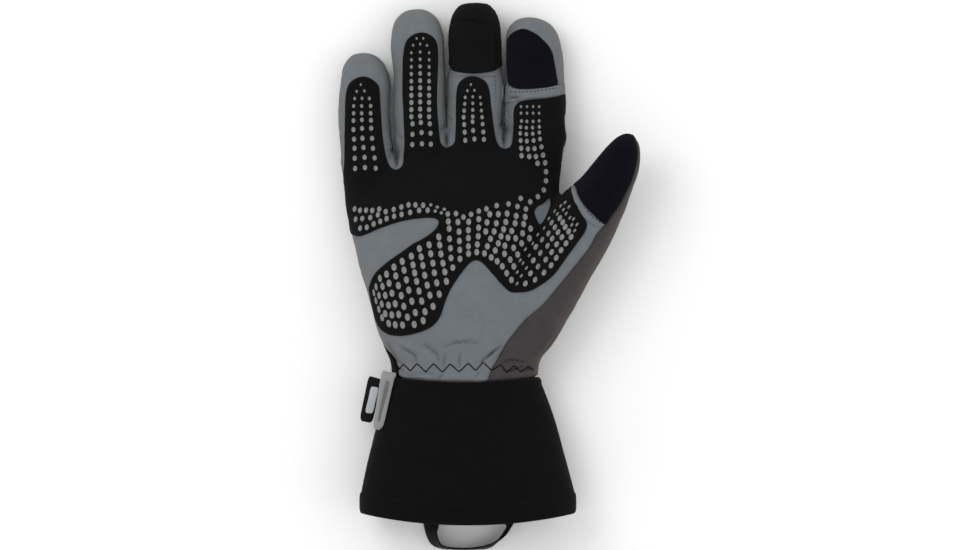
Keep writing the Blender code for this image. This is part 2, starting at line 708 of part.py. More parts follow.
# The hand is one hollow body first. The side seam then parts its back from its palm, and the charcoal seam
# parts the panel on the outside of the thumb from the gray leather.
shell = hand_body("palm_shell", 0.0, PALM_SIDES, FINGER_SIDES, True, True)
lining = hand_body("lining", -LEATHER_WALL, LINING_SIDES, LINING_FINGER_SIDES, False, True)
combine(shell, [lining], "DIFFERENCE")
back = copy_of(shell, "back_shell")
combine(back, [back_zone("behind_seam", 0.0)], "INTERSECT")
combine(shell, [back_zone("behind_seam", CLEARANCE)], "DIFFERENCE")
panel = copy_of(shell, "thumb_outer_panel")
combine(panel, [prism("beyond_seam", outline_of(CHARCOAL_SEAM, 1), -SKY, SKY)], "INTERSECT")
combine(shell, [prism("beyond_seam", outline_of(CHARCOAL_SEAM, 1, -CLEARANCE), -SKY, SKY)], "DIFFERENCE")
finish_piece(shell, gray)
finish_piece(back, softshell)
finish_piece(panel, charcoal)

# The grip overlay lies over palm, fingers and thumb, wraps to the side seam and leaves an island of leather.
overlay = hand_body("palm_overlay", CLEARANCE + OVERLAY, PALM_SIDES, FINGER_SIDES)
overlay_bed = hand_body("bed", CLEARANCE, PALM_SIDES, FINGER_SIDES)
layer("palm_overlay", overlay, outline_of(OVERLAY_OUTLINE, 2), SEAM_HEIGHT + 2 * CLEARANCE, overlay_bed)
combine(overlay, [prism("island", outline_of(ISLAND_OUTLINE, 2), -SKY, SKY)], "DIFFERENCE")
finish_piece(overlay, overlay_black)

# Pads on the index and the thumb, and the stitched band below each.
for name, finger, rows, thickness, surface in (
    ("index_pad", "index", INDEX_PAD_OUTLINE, FINGER_PAD, pad_black),
    ("index_band", "index", INDEX_BAND_OUTLINE, BAND, gray),
    ("thumb_pad", "thumb", THUMB_PAD_OUTLINE, FINGER_PAD, pad_black),
    ("thumb_band", "thumb", THUMB_BAND_OUTLINE, BAND, gray),
):
    if finger == "thumb":
        body = thumb_tube(name, CLEARANCE + thickness, FINGER_SIDES)
        bed = thumb_tube("bed", CLEARANCE, FINGER_SIDES)
        low = thumb_middle(1.0)
    else:
        body = finger_tube(finger, CLEARANCE + thickness, FINGER_SIDES)
        bed = finger_tube(finger, CLEARANCE, FINGER_SIDES)
        low = SEAM_HEIGHT + 2 * CLEARANCE
    piece = layer(name, body, outline_of(rows, 2), low, bed)
    finish_piece(piece, surface)

# The fold-back cap is a hood over the tip of the middle finger.
cap_start = 1 - CAP_LENGTH / MIDDLE_LENGTH + CLEARANCE / MIDDLE_LENGTH
cap = finger_tube("middle", 0.0, FINGER_SIDES, cap_start)
hollow = finger_tube("middle", -CAP_WALL, FINGER_SIDES, cap_start - 3 * CAP_WALL / MIDDLE_LENGTH)
combine(cap, [hollow], "DIFFERENCE")
cap.name = "middle_cap"
finish_piece(cap, overlay_black)

# The gauntlet cuff and the rolled hem round its mouth.
stations = (0.0, 0.15, 0.5, 0.85, 1.0)
cuff = sleeve(
    "cuff_tube",
    [cuff_ring(at, 0.0) for at in stations],
    [cuff_ring(at, -CUFF_WALL) for at in stations],
)
finish_piece(cuff, softshell)
rolls = ((0.0, 0.2), (0.14, 1.0), (0.86, 1.0), (1.0, 0.3))
hem = sleeve(
    "cuff_hem",
    [cuff_ring(1.0, HEM_PROUD * proud, CLEARANCE + at * HEM_HEIGHT) for at, proud in rolls],
    [cuff_ring(1.0, -CUFF_WALL - HEM_PROUD * proud, CLEARANCE + at * HEM_HEIGHT) for at, proud in rolls],
)
finish_piece(hem, softshell)

# The hanging loop: webbing sewn flat inside the back of the hem, turned on edge at its lowest stretch.
mouth_y = WRIST_Y - 2 * CLEARANCE - CUFF_LENGTH - CUFF_BOW - HEM_HEIGHT
floor = CUFF_WALL + HEM_PROUD + CLEARANCE + LOOP_THICKNESS / 2
centres = []
ways = []
ups = []
for step in range(LOOP_STEPS + 1):
    turn = math.pi * step / LOOP_STEPS
    round_x = -math.copysign(abs(math.cos(turn)) ** 0.6, math.cos(turn))
    depth = abs(math.sin(turn)) ** 0.75
    twist = math.radians(88) * smooth(1.3 * depth - 0.15)
    x = LOOP_OFFSET + round_x * LOOP_SPAN / 2
    rise = mix(floor, LOOP_WEBBING / 2 + CLEARANCE, smooth(depth))
    centres.append(Vector((x, mouth_y - LOOP_THICKNESS - (LOOP_DROP - LOOP_THICKNESS) * depth, rise)))
    lift = Vector((0.0, 0.0, 1.0))
    flat = Vector((-math.cos(turn), -math.sin(turn), 0.0))
    ways.append(flat * math.cos(twist) + lift * math.sin(twist))
    ups.append(lift * math.cos(twist) - flat * math.sin(twist))
for end in (0, -1):
    tucked = centres[end].copy()
    tucked.y = mouth_y + LOOP_TUCK
    centres.insert(0 if end == 0 else len(centres), tucked)
    ways.insert(0 if end == 0 else len(ways), ways[end])
    ups.insert(0 if end == 0 else len(ups), ups[end])
loop = strip("hang_loop", centres, ways, ups, LOOP_WEBBING, LOOP_THICKNESS)
finish_piece(loop, softshell)

# The black flag stands out of the cuff's side seam, and the gray label lies over its root.
seam_level = 0.4 * WRIST_THICKNESS
finish_piece(side_flag("side_flag", seam_level - FLAG_THICKNESS - CLEARANCE), softshell)
finish_piece(flank_label("side_label"), label_gray)
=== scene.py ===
import math

import bmesh
import bpy
import numpy as np
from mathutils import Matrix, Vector, noise
from mathutils.bvhtree import BVHTree


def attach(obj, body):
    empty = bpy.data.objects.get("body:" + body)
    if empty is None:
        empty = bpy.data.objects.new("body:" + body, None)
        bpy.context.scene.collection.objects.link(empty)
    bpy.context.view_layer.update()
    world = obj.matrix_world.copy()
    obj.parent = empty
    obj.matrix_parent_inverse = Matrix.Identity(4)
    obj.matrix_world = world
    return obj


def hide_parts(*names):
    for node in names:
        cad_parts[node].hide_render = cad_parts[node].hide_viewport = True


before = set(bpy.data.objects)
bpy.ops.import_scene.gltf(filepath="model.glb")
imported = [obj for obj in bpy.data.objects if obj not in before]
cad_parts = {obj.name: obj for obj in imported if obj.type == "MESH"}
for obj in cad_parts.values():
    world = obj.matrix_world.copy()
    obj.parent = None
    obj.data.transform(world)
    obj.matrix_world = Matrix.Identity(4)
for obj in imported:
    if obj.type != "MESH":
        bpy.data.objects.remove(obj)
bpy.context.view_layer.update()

# The set: a white table under a large even sky, as for a catalogue picture, with a broad soft lamp at the
# upper left, a weaker one at the right and the camera far above, looking straight down on the palm.
CAMERA_HEIGHT = 4.50
CAMERA_LENS = 300.0
CAMERA_AIM = (0.0132, 0.0003)
TABLE_HALF = 4.0
TABLE_DEPTH = 0.0004
SKY_STRENGTH = 0.84
LAMPS = (
    # place in metres, size, watts
    ((-0.75, 0.65, 1.30), 0.9, 7.0),
    ((0.95, -0.15, 1.00), 0.7, 1.5),
)


def plain_material(name, colour, roughness, specular=0.5):
    """A material with only its shader set, for the set's own surfaces and as a start for the others."""
    made = bpy.data.materials.new(name)
    made.use_nodes = True
    shader = made.node_tree.nodes["Principled BSDF"]
    shader.inputs["Base Color"].default_value = (*colour, 1.0)
    shader.inputs["Roughness"].default_value = roughness
    shader.inputs["Specular IOR Level"].default_value = specular
    return made


scene = bpy.context.scene
scene.view_settings.view_transform = "Standard"
world = bpy.data.worlds.new("studio")
world.use_nodes = True
world.node_tree.nodes["Background"].inputs["Color"].default_value = (1.0, 1.0, 1.0, 1.0)
world.node_tree.nodes["Background"].inputs["Strength"].default_value = SKY_STRENGTH
scene.world = world

table_mesh = bpy.data.meshes.new("table")
signs = ((-1, -1), (1, -1), (1, 1), (-1, 1))
table_mesh.from_pydata([(x * TABLE_HALF, y * TABLE_HALF, -TABLE_DEPTH) for x, y in signs], [], [(0, 1, 2, 3)])
table = bpy.data.objects.new("table", table_mesh)
table_mesh.materials.append(plain_material("table_white", (0.98, 0.98, 0.98), 0.95))
scene.collection.objects.link(table)

for number, (place, size, watts) in enumerate(LAMPS):
    lamp = bpy.data.lights.new(f"lamp_{number}", "AREA")
    lamp.size = size
    lamp.energy = watts
    holder = bpy.data.objects.new(lamp.name, lamp)
    holder.location = place
    holder.rotation_mode = "QUATERNION"
    holder.rotation_quaternion = (-Vector(place)).to_track_quat("-Z", "Y")
    scene.collection.objects.link(holder)

camera = bpy.data.objects.new("camera", bpy.data.cameras.new("camera"))
camera.data.lens = CAMERA_LENS
camera.data.sensor_width = 36.0
camera.data.clip_end = 20.0
camera.location = (*CAMERA_AIM, CAMERA_HEIGHT)
scene.collection.objects.link(camera)
scene.camera = camera


# The hand: the glove's outer skin as one smooth surface. Every leather and cloth panel of the hand is cut
# from it and given its own wall, so that the panels meet at their seams as they do on the real glove.
SKIN_GRAIN = 0.0012
SKIN_GROWTH = 0.0004
FINGER_SPREAD = 0.0042
SPREAD_RISE = 0.012
SKY_LIFT = 0.0004
HOLE_EDGES = 90
SKIN_SMOOTHING = 24
SMOOTHING_LOSS = 0.00025
CUFF_TUCK = 0.0040
TUCK_REACH = 0.010
CUFF_TOP = -0.0558
RIM_REACH = 0.0006
PLUG_DEPTH = 0.004
PLUG_SHRINK = (0.965, 0.94)
SIDE_REACH = (0.024, 0.042)
THUMB_FADE = (0.058, 0.066)
LEFT_FIT = (
    # place along the glove and the small sideways move that the worn leather's outline needs, in millimetres
    (-55, 0.0), (-46, 0.9), (-38, 0.9), (-28, 0.0), (-13, 0.2), (-4, 1.1), (6, 1.3), (13, 2.1), (20, 2.7),
    (27, 2.9), (33, 2.6), (40, 1.7), (48, 0.1), (56, -0.2), (59, 0.0), (61, 0.2), (63.5, 0.5), (65.7, 0.5),
    (68, -0.2), (70, -0.8), (72.3, -1.4), (74.5, -1.2), (76.7, -0.9), (79, -0.7), (81, -1.1), (83.3, -1.7),
    (85.5, -2.1), (87.7, -2.4), (90, -2.4), (92, -2.2), (94.3, -1.9), (96.5, -1.8), (99, -1.5), (103, -0.8),
    (110, 0.0),
)
RIGHT_FIT = (
    (-52, 0.0), (-46, 0.4), (-40, 1.6), (-33, 0.7), (-24, 0.0), (40, 0.0), (46, -1.2), (60, -1.3),
    (70, -1.3), (72.3, -0.6), (74.5, -0.6), (76.7, -1.1), (79, -1.3), (81, -1.0), (83.3, -0.3), (85.5, 0.3),
    (90, 0.5), (96.5, 0.4), (102, 0.0),
)
FINGER_GAPS = (
    # where the gap opens along Y, then places (y, x) on its middle line, in millimetres
    (62.0, ((50, -37.9), (80, -38.5), (100, -38.95), (110, -40.0), (120, -41.2), (140, -41.8))),
    (76.0, ((50, -9.95), (80, -10.0), (100, -10.15), (120, -10.5), (140, -10.85))),
    (76.0, ((50, 21.6), (80, 21.65), (100, 21.95), (120, 21.85), (128, 21.3), (140, 20.5))),
)


def points_of(mesh):
    flat = np.empty(len(mesh.vertices) * 3)
    mesh.vertices.foreach_get("co", flat)
    return flat.reshape(-1, 3)


def ramp(values, low, high):
    """0 below low, 1 above high and a soft rise between."""
    share = np.clip((values - low) / (high - low), 0.0, 1.0)
    return share * share * (3 - 2 * share)


def finger_shift(points):
    """How far sideways each point moves when the fingers are spread apart."""
    shift = np.zeros(len(points))
    for (opens, line), side in zip(FINGER_GAPS, (-1, 0, 1)):
        middle = np.interp(points[:, 1] * 1000, *zip(*line)) / 1000
        rise = ramp(points[:, 1] * 1000, opens, opens + SPREAD_RISE * 1000)
        if side < 0:
            shift -= np.where(points[:, 0] < middle, 1.0, 0.0) * rise
        elif side > 0:
            shift += np.where(points[:, 0] > middle, 1.0, 0.0) * rise
        else:
            shift += np.where(points[:, 0] > middle, 0.5, -0.5) * rise
    return shift * FINGER_SPREAD


def spread_fingers(points, way):
    """Moves the fingers apart, or with way -1 back together."""
    if way > 0:
        points[:, 0] += finger_shift(points)
        return
    start = points[:, 0].copy()
    for _ in range(6):
        points[:, 0] = start - finger_shift(points)


def triangles_of(mesh):
    mesh.calc_loop_triangles()
    flat = np.empty(len(mesh.loop_triangles) * 3, np.int32)
    mesh.loop_triangles.foreach_get("vertices", flat)
    return flat.reshape(-1, 3)


def mesh_from(name, points, faces):
    made = bpy.data.meshes.new(name)
    made.vertices.add(len(points))
    made.vertices.foreach_set("co", np.asarray(points, float).ravel())
    made.loops.add(len(faces) * 3)
    made.loops.foreach_set("vertex_index", np.asarray(faces, np.int32).ravel())
    made.polygons.add(len(faces))
    made.polygons.foreach_set("loop_start", np.arange(len(faces), dtype=np.int32) * 3)
    made.update(calc_edges=True)
    made.validate()
    return made


def normals_of(points, faces):
    """Vertex normals, weighted by the faces' areas."""
    a, b, c = (points[faces[:, k]] for k in range(3))
    across = np.cross(b - a, c - a)
    total = np.zeros_like(points)
    for k in range(3):
        for axis in range(3):
            total[:, axis] += np.bincount(faces[:, k], across[:, axis], len(points))
    return total / np.maximum(np.linalg.norm(total, axis=1), 1e-20)[:, None]


def ends_of(faces):
    """The two ends of every face's three edges."""
    return np.concatenate([faces[:, [0, 1]], faces[:, [1, 2]], faces[:, [2, 0]]])


def relaxed(points, faces, steps):
    """Points moved halfway towards the middle of their neighbours, a few times over."""
    edges = np.unique(np.sort(ends_of(faces), axis=1), axis=0)
    here, there = np.concatenate([edges, edges[:, ::-1]]).T
    count = np.maximum(np.bincount(here, minlength=len(points)), 1)[:, None]
    points = points.copy()
    for _ in range(steps):
        total = np.stack([np.bincount(here, points[there, axis], len(points)) for axis in range(3)], 1)
        points += (total / count - points) * 0.5
    return points


SKY_WAYS = ((0, 0, 1), (0, 0, -1), (0, 0.7, 0.7), (0, 0.7, -0.7), (0, 1, 0))


def seen_from_outside(points, faces):
    """The faces whose corners see open sky above, below or past the tips; the hollow's lining sees none."""
    tree = BVHTree.FromPolygons(points.tolist(), faces.tolist())
    starts = points + normals_of(points, faces) * SKY_LIFT
    seen = np.zeros(len(points), bool)
    for number, start in enumerate(starts.tolist()):
        seen[number] = any(tree.ray_cast(start, way)[0] is None for way in SKY_WAYS)
    return faces[seen[faces].all(1)]


def with_holes_filled(points, faces, most):
    """Closes the small holes, of at most this many edges."""
    filled = bmesh.new()
    carrier = mesh_from("carrier", points, faces)
    filled.from_mesh(carrier)
    bmesh.ops.holes_fill(filled, edges=[edge for edge in filled.edges if edge.is_boundary], sides=most)
    bmesh.ops.triangulate(filled, faces=filled.faces)
    filled.to_mesh(carrier)
    filled.free()
    points, faces = points_of(carrier), triangles_of(carrier)
    bpy.data.meshes.remove(carrier)
    return points, faces


def only_island(points, faces, seed):
    """Keeps the faces joined to the seed vertex, and drops unused points."""
    label = np.arange(len(points))
    while True:
        lowest = label[faces].min(axis=1)
        before = label.copy()
        for k in range(3):
            np.minimum.at(label, faces[:, k], lowest)
        label = label[label]
        if (label == before).all():
            break
    return compacted(points, faces[label[faces[:, 0]] == label[seed]])


def compacted(points, faces):
    used = np.unique(faces)
    place = np.zeros(len(points), np.int64)
    place[used] = np.arange(len(used))
    return points[used], place[faces]


body = bmesh.new()
for node in ("palm_shell", "back_shell", "thumb_outer_panel"):
    panel = bmesh.new()
    panel.from_mesh(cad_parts[node].data)
    bmesh.ops.remove_doubles(panel, verts=panel.verts, dist=1e-6)
    panel.normal_update()
    for vert in panel.verts:
        vert.co += vert.normal * SKIN_GROWTH
    carrier = bpy.data.meshes.new("carrier")
    panel.to_mesh(carrier)
    panel.free()
    body.from_mesh(carrier)
    bpy.data.meshes.remove(carrier)
wrist_y = min(vert.co.y for vert in body.verts)
rim = [vert.co.copy() for vert in body.verts if vert.co.y < CUFF_TOP + RIM_REACH]
middle = sum(co.z for co in rim) / len(rim)
plug = bmesh.new()
for co in rim:
    for depth in (0.0, PLUG_DEPTH):
        plug.verts.new((co.x * PLUG_SHRINK[0], co.y + depth, middle + (co.z - middle) * PLUG_SHRINK[1]))
bmesh.ops.convex_hull(plug, input=plug.verts)
carrier = bpy.data.meshes.new("carrier")
plug.to_mesh(carrier)
plug.free()
body.from_mesh(carrier)
bmesh.ops.triangulate(body, faces=body.faces)
carrier.clear_geometry()
body.to_mesh(carrier)
body.free()
spots = points_of(carrier)
spots[:, 1] -= CUFF_TUCK * (1 - ramp(spots[:, 1], wrist_y, wrist_y + TUCK_REACH))
spread_fingers(spots, 1)
carrier.vertices.foreach_set("co", spots.ravel())
holder = bpy.data.objects.new("carrier", carrier)
scene.collection.objects.link(holder)
remesh = holder.modifiers.new("skin", "REMESH")
remesh.mode = "VOXEL"
remesh.voxel_size = SKIN_GRAIN
remeshed = bpy.data.meshes.new_from_object(holder.evaluated_get(bpy.context.evaluated_depsgraph_get()))
skin, skin_faces = points_of(remeshed), triangles_of(remeshed)
bpy.data.objects.remove(holder)
bpy.data.meshes.remove(carrier)
bpy.data.meshes.remove(remeshed)
skin_faces = seen_from_outside(skin, skin_faces)
used = np.unique(skin_faces)
back_seed = used[np.abs(skin[used] - (0, 0.02, 0)).sum(1).argmin()]
skin, skin_faces = only_island(skin, skin_faces, back_seed)
skin, skin_faces = with_holes_filled(skin, skin_faces, HOLE_EDGES)
skin = relaxed(skin, skin_faces, SKIN_SMOOTHING)
skin += normals_of(skin, skin_faces) * (SMOOTHING_LOSS - SKIN_GROWTH)
spread_fingers(skin, -1)
for side, rows in ((-1, LEFT_FIT), (1, RIGHT_FIT)):
    reach = ramp(side * skin[:, 0], *SIDE_REACH) * (1 - ramp(skin[:, 0], *THUMB_FADE) * (skin[:, 1] > 0))
    skin[:, 0] += reach * np.interp(skin[:, 1] * 1000, *zip(*rows)) / 1000


# The side seams: the softshell back meets the palm's leather along a seam that runs level round the hand and
# climbs along the thumb. Lines on the plan are in millimetres, X across and Y along the glove.
SEAM_LEVEL = 0.0115
FINGER_SEAM_DROP = 0.0050
WRIST_SEAM_CLIMB = 0.0160
THUMB_SEAM_LEVEL = 0.0295
THUMB_ROOT = (0.0347, -0.0409)
THUMB_TURN = math.radians(28.0)
THUMB_LENGTH = 0.1315
THUMB_WIDTH = 0.0363
THUMB_CLIMB_ALONG = (0.30, 1.05)
THUMB_CLIMB_ACROSS = (-1.0, -0.72)
FINGER_DROP_RUN = (0.085, 0.115)
WRIST_CLIMB_RUN = (0.022, 0.050)
WRIST_CLIMB_SIDE = (0.0, 0.020)


def curve_between(a, b, c, d, steps):
    """Points from b up to c on a smooth curve, where a and d are the rows before and after them."""
    t = np.linspace(0, 1, steps, endpoint=False)[None, :, None]
    bend = (2 * a - 5 * b + 4 * c - d) * t**2 + (3 * b - a - 3 * c + d) * t**3
    return 0.5 * (2 * b + (c - a) * t + bend)


def curved(rows, steps=5):
    """A closed outline through the rows of a table, in metres, curved between them."""
    rows = np.array(rows) / 1000
    around = (np.roll(rows, turn, 0)[:, None, :] for turn in (1, 0, -1, -2))
    return curve_between(*around, steps).reshape(-1, 2)


def outside(points, outline):
    """Distance on the plan from an outline, below zero inside it."""
    x, y = points[:, 0], points[:, 1]
    nearest = np.full(len(points), 1e9)
    inside = np.zeros(len(points), bool)
    for (x0, y0), (x1, y1) in zip(outline, np.roll(outline, -1, 0)):
        dx, dy = x1 - x0, y1 - y0
        share = np.clip(((x - x0) * dx + (y - y0) * dy) / (dx * dx + dy * dy + 1e-18), 0, 1)
        nearest = np.minimum(nearest, (x - x0 - share * dx) ** 2 + (y - y0 - share * dy) ** 2)
        if dy != 0:
            inside ^= ((y0 > y) != (y1 > y)) & (x < dx * (y - y0) / dy + x0)
    return np.where(inside, -1.0, 1.0) * np.sqrt(nearest)


def thumb_place(points):
    """Each point's place along the thumb, from 0 at its root to 1 at its tip, and across it in widths."""
    x, y = points[:, 0] - THUMB_ROOT[0], points[:, 1] - THUMB_ROOT[1]
    along = (x * math.sin(THUMB_TURN) + y * math.cos(THUMB_TURN)) / THUMB_LENGTH
    across = (x * math.cos(THUMB_TURN) - y * math.sin(THUMB_TURN)) / THUMB_WIDTH
    return along, across


def above_seam(points):
    """Height above the side seam, below zero on the back of the glove."""
    along, across = thumb_place(points)
    climb = ramp(along, *THUMB_CLIMB_ALONG) * ramp(across, *THUMB_CLIMB_ACROSS)
    climb *= THUMB_SEAM_LEVEL - SEAM_LEVEL
    climb -= ramp(points[:, 1], *FINGER_DROP_RUN) * FINGER_SEAM_DROP
    climb += ramp(-points[:, 1], *WRIST_CLIMB_RUN) * ramp(-points[:, 0], *WRIST_CLIMB_SIDE) * WRIST_SEAM_CLIMB
    return points[:, 2] - SEAM_LEVEL - climb


def split_along(data, faces, column, level=0.0):
    """Splits the faces that cross a level of one column, so that the level becomes a line of edges."""
    height = data[:, column] - level
    height = np.where(np.abs(height) < 2e-6, 2e-6, height)
    side = height > 0
    mixed = side[faces].any(1) & ~side[faces].all(1)
    whole, crossed = faces[~mixed], faces[mixed]
    if not len(crossed):
        return data, faces
    sides = side[crossed]
    lone = np.where(sides.sum(1) == 1, sides.argmax(1), (~sides).argmax(1))
    crossed = np.stack([crossed[np.arange(len(crossed)), (lone + k) % 3] for k in range(3)], 1)
    edges = np.sort(np.concatenate([crossed[:, [0, 1]], crossed[:, [0, 2]]]), axis=1)
    edges, place = np.unique(edges, axis=0, return_inverse=True)
    place = place.ravel() + len(data)
    a, b = edges[:, 0], edges[:, 1]
    share = (height[a] / (height[a] - height[b]))[:, None]
    added = data[a] + (data[b] - data[a]) * share
    added[:, column] = level
    p, q = place[: len(crossed)], place[len(crossed) :]
    v0, v1, v2 = crossed.T
    parts = [whole] + [np.stack(f, 1) for f in ((v0, p, q), (p, v1, v2), (p, v2, q))]
    return np.vstack([data, added]), np.concatenate(parts)


def walled(name, upper, lower, faces, surface, slot, *nodes):
    """A closed piece between two surfaces over the same faces; the painted shade of creases and seams is an
    attribute.
    """
    used = np.unique(faces)
    upper, faces = compacted(upper, faces)
    lower = lower[used]
    ends = ends_of(faces)
    key, back = ends[:, 0] * len(used) + ends[:, 1], ends[:, 1] * len(used) + ends[:, 0]
    rim = ends[~np.isin(key, back)]
    under = len(used)
    walls = np.concatenate([np.stack([rim[:, 1], rim[:, 0], rim[:, 0] + under], 1),
                            np.stack([rim[:, 1], rim[:, 0] + under, rim[:, 1] + under], 1)])
    made = mesh_from(name, np.vstack([upper, lower]), np.concatenate([faces, faces[:, ::-1] + under, walls]))
    mark = made.attributes.new("crease", "FLOAT", "POINT")
    mark.data.foreach_set("value", np.tile(crease[used], 2).astype(np.float32))
    return placed(name, made, surface, slot, *nodes)


def placed(name, mesh, surface, slot, *nodes):
    """Puts a finished mesh in the scene as a piece that rides on the glove."""
    obj = bpy.data.objects.new(name, mesh)
    mesh.materials.clear()
    mesh.materials.append(surface)
    mesh.shade_smooth()
    mesh.set_sharp_from_angle(angle=math.radians(50))
    scene.collection.objects.link(obj)
    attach(obj, "root")
    if nodes:
        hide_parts(*nodes)
    return obj


# The lines in which the panels and the layers on them are cut.
OVERLAY_EDGE = (
    (-68.2, 43.7), (-66.6, 52.5), (-65.7, 69.0), (-65.7, 88.3), (-65.2, 99.3), (-63.3, 105.3),
    (-60.0, 108.1), (-56.4, 109.2), (-52.8, 108.6), (-49.5, 106.4), (-47.3, 103.1), (-46.8, 94.9),
    (-46.2, 84.4), (-45.1, 72.9), (-43.5, 64.6), (-41.2, 59.7), (-38.0, 58.0), (-35.2, 59.1),
    (-33.6, 62.4), (-33.0, 75.6), (-33.8, 93.8), (-34.1, 112.5), (-33.6, 121.8), (-32.2, 128.4),
    (-28.6, 132.0), (-23.7, 133.4), (-19.2, 132.0), (-16.0, 128.2), (-15.1, 120.7), (-15.4, 107.5),
    (-15.7, 94.9), (-14.9, 82.8), (-14.3, 74.5), (-12.9, 71.5), (-10.5, 70.1), (-7.2, 71.2),
    (-5.2, 74.0), (-4.7, 81.1), (-4.7, 92.1), (-4.4, 100.4), (-2.8, 105.9), (0.6, 108.6), (4.1, 109.5),
    (8.2, 108.4), (11.6, 105.9), (13.2, 101.5), (14.0, 94.3), (15.1, 85.0), (16.8, 75.1), (18.7, 71.0),
    (21.5, 69.6), (24.8, 70.4), (26.4, 74.0), (27.0, 81.1), (27.0, 89.9), (28.1, 93.5), (30.8, 95.7),
    (35.8, 96.6), (44.8, 97.4), (51.2, 98.5), (58.9, 100.4), (60.5, 85.5), (60.5, 69.0), (58.9, 49.8),
    (60.0, 42.1), (62.2, 36.3), (65.5, 31.1), (66.8, 27.8), (65.5, 23.7), (62.2, 19.0), (57.8, 12.9),
    (52.8, 5.8), (49.0, 0.8), (44.0, -3.6), (38.0, -7.4), (34.1, -8.8), (30.3, -9.2), (25.3, -9.1),
    (21.5, -6.3), (15.4, 0.6), (10.5, 6.1), (8.2, 7.8), (6.4, 8.3), (4.1, 7.8), (1.1, 5.2),
    (-3.9, -1.4), (-8.2, -8.2), (-11.0, -15.1), (-13.5, -22.3), (-17.6, -27.5), (-24.2, -30.8),
    (-33.6, -32.9), (-41.5, -32.2), (-46.5, -28.3), (-49.5, -21.5), (-51.3, -12.4), (-52.3, -7.4),
    (-51.8, -5.0), (-50.1, -0.6), (-46.8, 3.6), (-40.7, 8.5), (-34.7, 12.7), (-29.2, 16.8),
    (-24.2, 19.5), (-19.2, 22.6), (-15.7, 25.9), (-14.3, 28.9), (-15.0, 30.6), (-17.3, 31.5),
    (-21.5, 31.6), (-29.2, 30.8), (-37.7, 28.9), (-46.2, 26.1), (-52.3, 23.4), (-57.2, 21.7),
    (-60.8, 22.3), (-65.5, 25.6), (-68.8, 33.3),
)
ISLAND_EDGE = (
    (46.2, 42.4), (46.8, 39.1), (45.7, 34.9), (44.0, 31.1), (41.8, 28.3), (40.4, 28.2), (39.3, 30.3),
    (38.1, 33.6), (38.2, 36.0), (39.9, 38.0), (42.9, 39.6),
)
INDEX_PAD_EDGE = (
    (32.5, 135.3), (27.2, 133.7), (24.1, 130.6), (23.4, 126.2), (23.3, 118.5), (23.7, 109.2),
    (24.5, 105.1), (28.1, 102.9), (34.1, 102.4), (42.9, 103.1), (48.7, 104.0), (50.8, 105.3),
    (50.3, 109.7), (49.1, 116.3), (47.5, 122.9), (45.4, 126.5), (42.6, 129.5), (38.5, 132.8),
)
INDEX_BAND_EDGE = (
    (20.4, 105.3), (23.7, 104.5), (28.1, 102.5), (34.1, 102.0), (42.9, 102.8), (50.1, 104.5),
    (58.9, 105.9), (58.9, 100.7), (51.2, 99.0), (44.8, 98.0), (35.8, 97.3), (30.3, 96.6), (27.0, 95.4),
    (20.4, 96.0),
)
CHARCOAL_EDGE = (
    (101.8, 85.5), (94.1, 80.0), (93.5, 75.1), (94.9, 69.0), (94.6, 61.9), (91.9, 52.5), (88.6, 45.4),
    (84.4, 38.0), (80.9, 33.3), (77.3, 28.1), (72.6, 22.8), (68.2, 15.1), (61.6, 6.6), (53.9, -2.8),
    (42.9, -15.7), (34.1, -23.4), (25.3, -33.8), (20.9, -40.4), (17.9, -45.9), (14.6, -51.4),
    (12.7, -58.0), (11.6, -66.3), (129.2, -66.3), (129.2, 85.5),
)
THUMB_PAD_EDGE = (
    (55.6, 52.5), (60.5, 49.0), (62.2, 43.7), (65.2, 38.5), (69.9, 33.6), (74.2, 29.7), (77.3, 28.2),
    (80.3, 33.0), (83.9, 38.0), (88.0, 45.4), (91.3, 52.5), (93.9, 61.9), (94.4, 68.5), (93.9, 74.5),
    (96.3, 81.1), (74.2, 80.0),
)
THUMB_BAND_EDGE = (
    (52.3, 43.7), (55.6, 48.4), (60.2, 48.5), (61.8, 43.5), (64.7, 38.2), (69.6, 33.2), (74.2, 29.2),
    (76.7, 27.5), (72.3, 27.0), (68.2, 28.9), (64.9, 31.9), (62.7, 35.5), (60.5, 39.3),
)
CAP_EDGE = (
    (-12.1, 118.5), (-9.9, 116.9), (-7.4, 115.0), (-6.1, 112.5), (-1.7, 111.3), (4.4, 110.8),
    (10.5, 111.2), (16.0, 112.5), (17.1, 113.6), (20.6, 115.2), (23.7, 116.3), (23.7, 162.5),
    (-12.1, 162.5),
)

WALL = 0.0022
LAYER_BED = 0.00015
OVERLAY_SIDE = 0.0012
SEAM_LINES = (-0.0008, 0.0, 0.0008)
EDGE_LINES = (0.0, -0.0003, -0.0009)
WRIST_TRIM = 0.0010

# Columns of the cut skin: its place, its normal, then the distance from each panel's or layer's edge.
POINT, NORMAL = slice(0, 3), slice(3, 6)
BACK, CHARCOAL, OVERLAY, INDEX_PAD, INDEX_BAND, THUMB_PAD, THUMB_BAND, CAP, WRIST_CUT = range(6, 15)


def within(edge, limit):
    """The skin's distance from one of the outlines above, which ends where the limit rises above zero."""
    return np.maximum(outside(skin, curved(edge)), limit)


